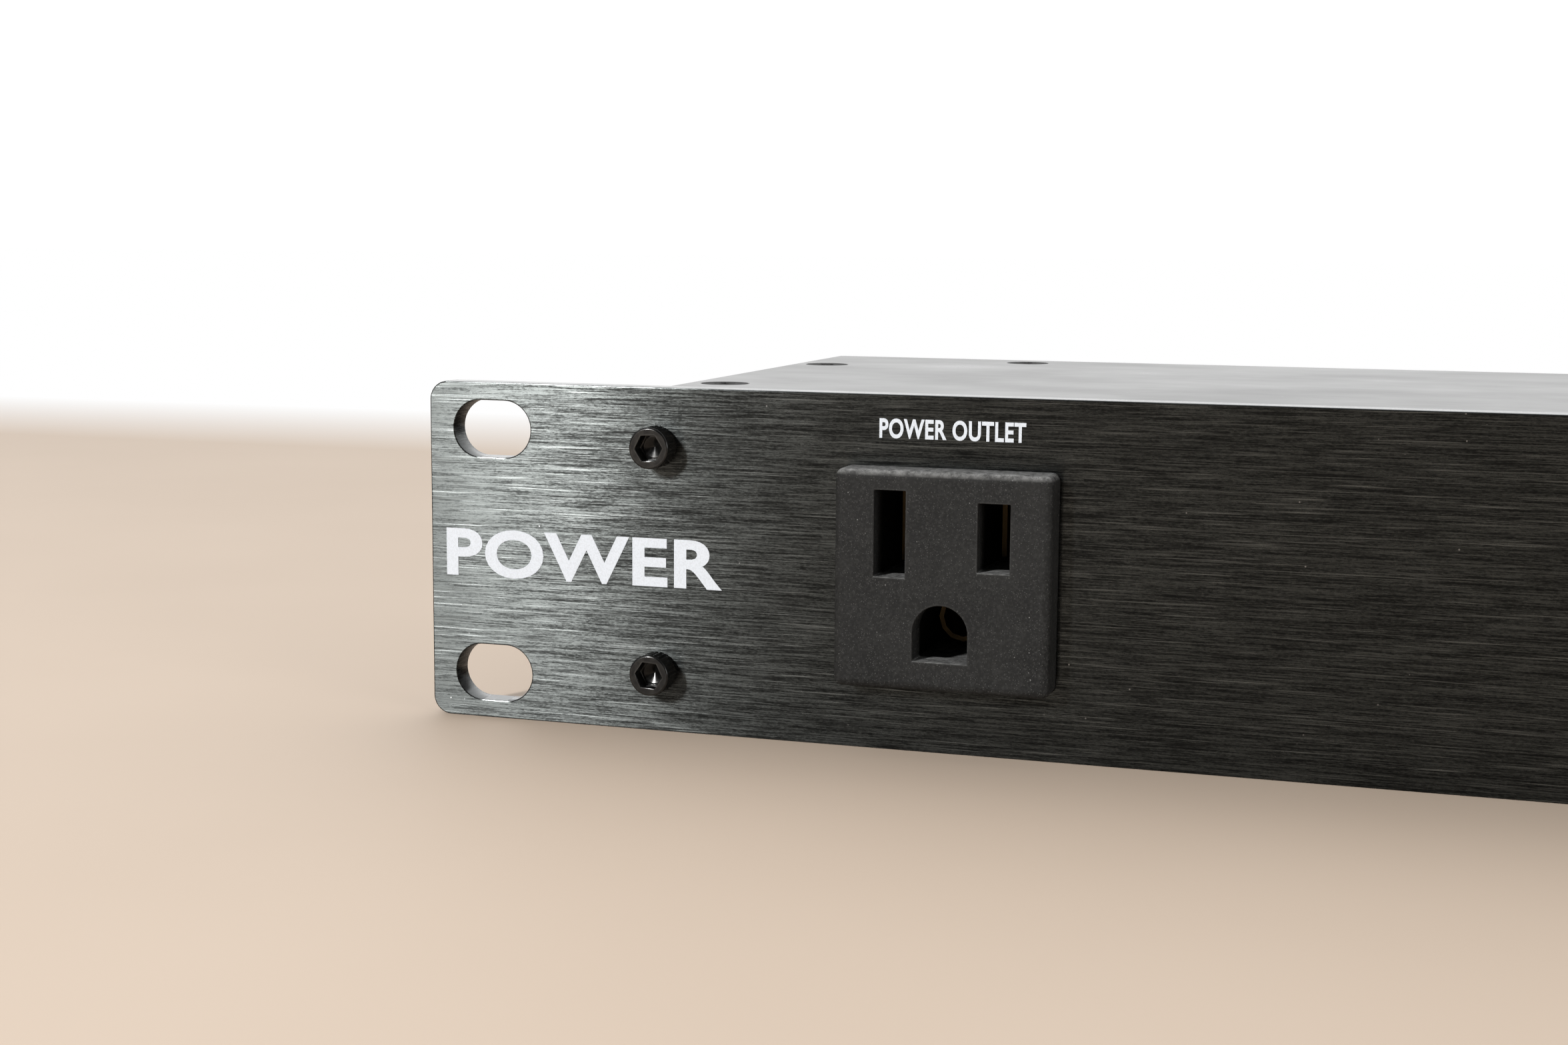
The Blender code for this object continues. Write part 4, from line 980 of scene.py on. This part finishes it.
def breaker():
    at, turn = (BREAKER_X, REAR, MIDDLE), (0, 0, 180)
    half_wide, deep, half_high = BREAKER_BODY[0] / 2, BREAKER_BODY[1], BREAKER_BODY[2] / 2
    block = ((-half_wide, SHEET + CLEAR, -half_high), (half_wide, deep, half_high))
    shape = Shape(boxes("breaker", [block])).round(0.8, 3)
    root, crest, pitch = THREAD
    threads = []
    for thread in range(6):
        start = -3.4 + thread * pitch
        threads += [(root, start), (crest, start + pitch * 0.5)]
    profile = [(0, -3.5), (root - 0.15, -3.5), *threads, (root, 0.3), (root, 3.0), (0, 3.0)]
    shape.join(lathe("bush", profile)).cut(rod("bore", -5.0, 6.0, 3.3))
    mesh = shape.mesh("breaker_body_moulded", 25)
    piece("breaker_body_moulded", mesh, "switch_plastic", "breaker_body", at=at, turn=turn)
    shape = Shape(lathe("nut", [(8.08, -2.3), (8.08, -0.05)], segments=6))
    ring = lathe("nut_chamfer", [(7.1, -2.6), (9.6, -2.6), (9.6, -1.0), (8.2, -1.75), (7.1, -2.6)])
    shape.cut(rod("nut_bore", -3.0, 1.0, 4.95), ring).round(0.06, 1, 50)
    mesh = shape.mesh("breaker_nut_plated", 28)
    piece("breaker_nut_plated", mesh, "zinc_steel", "breaker_nut", at=at, turn=turn)
    radius, top = 3.0, -4.4
    crown = [(radius - 0.6, top + 0.08), (radius - 0.25, top + 0.2), (radius - 0.06, top + 0.42)]
    profile = [(0, top), (radius - 1.0, top), *crown, (radius, top + 0.75), (radius, 5.0), (0, 5.0)]
    mesh = Shape(lathe("button", profile)).mesh("breaker_button_moulded")
    piece("breaker_button_moulded", mesh, "nylon", "breaker_button", "button", at=at, turn=turn)


def inlet():
    at, turn = (INLET_X, REAR, MIDDLE), (0, 0, 180)
    deep = INLET_BODY[1] + CLEAR
    face = -CLEAR - INLET_FLANGE[1]
    flange = (INLET_FLANGE[0], INLET_FLANGE[2])
    shape = Shape(slabs("flange", [(0, 0)], flange, face, -0.05, 4.0, steps=10)).round(0.5, 3, 60)
    half = (INLET_BODY[0] / 2, INLET_BODY[2] / 2)
    screws = [(-INLET_SCREW_X, 0), (INLET_SCREW_X, 0)]
    shape.join(boxes("shell", [((-half[0], face + 1, -half[1]), (half[0], deep, half[1]))]))
    wide, tall = PIN_HALF[0] + CLEAR, PIN_HALF[1] + CLEAR
    pins = [((x - wide, 10.0, z - tall), (x + wide, deep + 1, z + tall)) for x, z in PINS.values()]
    cavity = (face - 1, INLET_CAVITY_DEEP, 3.5)
    shape.cut(
        slabs("cavity", [(0, 0)], INLET_CAVITY, *cavity, steps=1, top_only=True),
        boxes("pin_slots", pins),
        rod("screw_holes", face - 1, 1, INLET_SCREW_HOLE, screws),
        rod("countersinks", face - 0.5, face + 1.6, 3.55, screws, end_radius=1.45),
    )
    mesh = shape.round(0.2, 2, 62).mesh("inlet_body_moulded")
    piece("inlet_body_moulded", mesh, "switch_plastic", "inlet_body", at=at, turn=turn)
    wide, tall = PIN_HALF
    for kind, (x, z) in PINS.items():
        blade = boxes(f"pin_{kind}", [((x - wide, 1.5, z - tall), (x + wide, 25.0, z + tall))])
        mesh = Shape(blade).round(0.4, 3).mesh(f"inlet_blade_{kind}")
        piece(f"inlet_blade_{kind}", mesh, "zinc_steel", f"inlet_pin_{kind}", at=at, turn=turn)
    screw = flat_screw_mesh("inlet_flat_screw", *INLET_SCREW)
    for number, (x, _) in enumerate(screws, 1):
        piece(
            f"inlet_flat_screw_{number}",
            screw,
            "zinc_steel",
            f"inlet_screw_{number}",
            at=(INLET_X + x, REAR - face, MIDDLE),
            turn=(-90, 0, 0),
        )


# --- printing ------------------------------------------------------------------------------------


def printed(name, words, centre, width, height):
    """Words printed on the panel, fitted to a width and a height, in the stock typeface."""
    text = bpy.data.curves.new(name, "FONT")
    text.body = words
    text.offset = 0.03  # makes the strokes heavier
    text.resolution_u = 6
    text.space_character = 1.08
    text.extrude = 0.5
    obj = bpy.data.objects.new(name, text)
    bpy.context.collection.objects.link(obj)
    bpy.context.view_layer.update()
    graph = bpy.context.evaluated_depsgraph_get()
    mesh = bpy.data.meshes.new_from_object(obj.evaluated_get(graph))
    mesh.name = name
    bpy.data.objects.remove(obj, do_unlink=True)
    spots = [vert.co.copy() for vert in mesh.vertices]
    low = Vector([min(spot[axis] for spot in spots) for axis in range(3)])
    high = Vector([max(spot[axis] for spot in spots) for axis in range(3)])
    middle = (low + high) / 2
    scale = (width / (high.x - low.x), height / (high.y - low.y), 2 * FILM / (high.z - low.z))
    for vert, spot in zip(mesh.vertices, spots):
        across, up, out = ((spot[axis] - middle[axis]) * scale[axis] for axis in range(3))
        vert.co = Vector((centre[0] + across, FRONT - FILM / 2 - out, centre[1] + up)) * MM
    mesh.validate()
    piece(name, mesh, "white_ink")


def printing():
    label_at = (FRONT_OUTLET_X + 0.05, 39.6)
    word_at = (PANEL_LOW.x + 21.1, 21.6)
    printed("printed_outlet_label", "POWER OUTLET", label_at, 18.0, 2.43)
    printed("printed_panel_word", "POWER", word_at, 37.9, 6.3)


# --- pieces that keep their CAD shape ------------------------------------------------------------


def carried_over():
    """Gives every CAD node that still shows the look of its material slot."""
    for part in frame["record"]["subparts"]:
        obj = frame["nodes"][part["node"]]
        obj.data.materials.clear()
        obj.data.materials.append(LOOKS[part["material_slot"]])
        obj.data.shade_smooth()
        obj.data.set_sharp_from_angle(angle=math.radians(35))


# --- room ----------------------------------------------------------------------------------------


def camera():
    """The camera looks along the panel from its right, a little above the case."""
    data = bpy.data.cameras.new("camera")
    data.sensor_width = SENSOR
    data.lens = LENS
    data.clip_start = 0.01
    obj = bpy.data.objects.new("camera", data)
    bpy.context.collection.objects.link(obj)
    forward = Vector(CAMERA_FORWARD).normalized()
    right = forward.cross(Vector(CAMERA_UP)).normalized()
    up = right.cross(forward)
    obj.matrix_world = Matrix((right, up, -forward)).transposed().to_4x4()
    obj.location = CAMERA_PLACE
    bpy.context.scene.camera = obj


def area(name, direction, distance, size, power):
    """A rectangular area light that shines on the strip from a direction."""
    data = bpy.data.lights.new(name, "AREA")
    data.shape = "RECTANGLE"
    data.size, data.size_y = size
    data.energy = power
    obj = bpy.data.objects.new(name, data)
    bpy.context.collection.objects.link(obj)
    towards = Vector(direction).normalized()
    obj.location = Vector(LIGHT_AIM) + towards * distance
    obj.rotation_mode = "QUATERNION"
    obj.rotation_quaternion = towards.to_track_quat("Z", "Y")


def floor_look():
    """A pale warm table top near the strip, which gives way to a white ground behind it."""
    look = Look("pale_floor", (0.52, 0.42, 0.33), 0.7)
    split = look.node("ShaderNodeSeparateXYZ")
    look.link(look.place, split.inputs["Vector"])
    far = look.spread(split.outputs["Y"], *TABLE_EDGE)
    look.colour(look.blend(look.noise((0.01, 0.01, 0.01)), (0.52, 0.415, 0.325), (0.57, 0.46, 0.365)))
    white = look.node("ShaderNodeEmission")
    mix = look.node("ShaderNodeMixShader")
    look.link(far, mix.inputs["Fac"])
    look.link(look.shader.outputs["BSDF"], mix.inputs[1])
    look.link(white.outputs["Emission"], mix.inputs[2])
    look.link(mix.outputs["Shader"], look.tree.nodes["Material Output"].inputs["Surface"])
    return look.material


def room():
    """The floor, the world's light and the two lamps."""
    mesh = bpy.data.meshes.new("floor")
    work = bmesh.new()
    bmesh.ops.create_grid(work, x_segments=1, y_segments=1, size=FLOOR_HALF)
    work.to_mesh(mesh)
    work.free()
    floor = bpy.data.objects.new("floor", mesh)
    bpy.context.collection.objects.link(floor)
    mesh.materials.append(floor_look())
    world = bpy.data.worlds.new("room")
    bpy.context.scene.world = world
    world.use_nodes = True
    tree = world.node_tree
    background = tree.nodes["Background"]
    spot = tree.nodes.new("ShaderNodeTexCoord")
    split = tree.nodes.new("ShaderNodeSeparateXYZ")
    tree.links.new(spot.outputs["Generated"], split.inputs["Vector"])
    # A white wall stands behind the strip, and the room on the camera's side is darker.
    ramp = tree.nodes.new("ShaderNodeMapRange")
    for socket, value in zip(ramp.inputs[1:5], (*WALL_EDGE, ROOM_DIM, ROOM_BRIGHT)):
        socket.default_value = value
    tree.links.new(split.outputs["Y"], ramp.inputs["Value"])
    rays = tree.nodes.new("ShaderNodeLightPath")
    seen = tree.nodes.new("ShaderNodeMath")
    seen.operation = "MAXIMUM"
    tree.links.new(rays.outputs["Is Camera Ray"], seen.inputs[0])
    tree.links.new(ramp.outputs["Result"], seen.inputs[1])
    tree.links.new(seen.outputs["Value"], background.inputs["Strength"])
    background.inputs["Color"].default_value = (1.0, 1.0, 1.0, 1.0)
    area("key", KEY_DIRECTION, KEY_DISTANCE, KEY_SIZE, KEY_POWER)
    area("fill", FILL_DIRECTION, FILL_DISTANCE, FILL_SIZE, FILL_POWER)
    bpy.context.scene.view_settings.view_transform = "Standard"


carried_over()
camera()
front_panel()
top_cover()
folded_tray()
fasteners()
outlets()
switch()
indicator()
breaker()
inlet()
printing()
room()
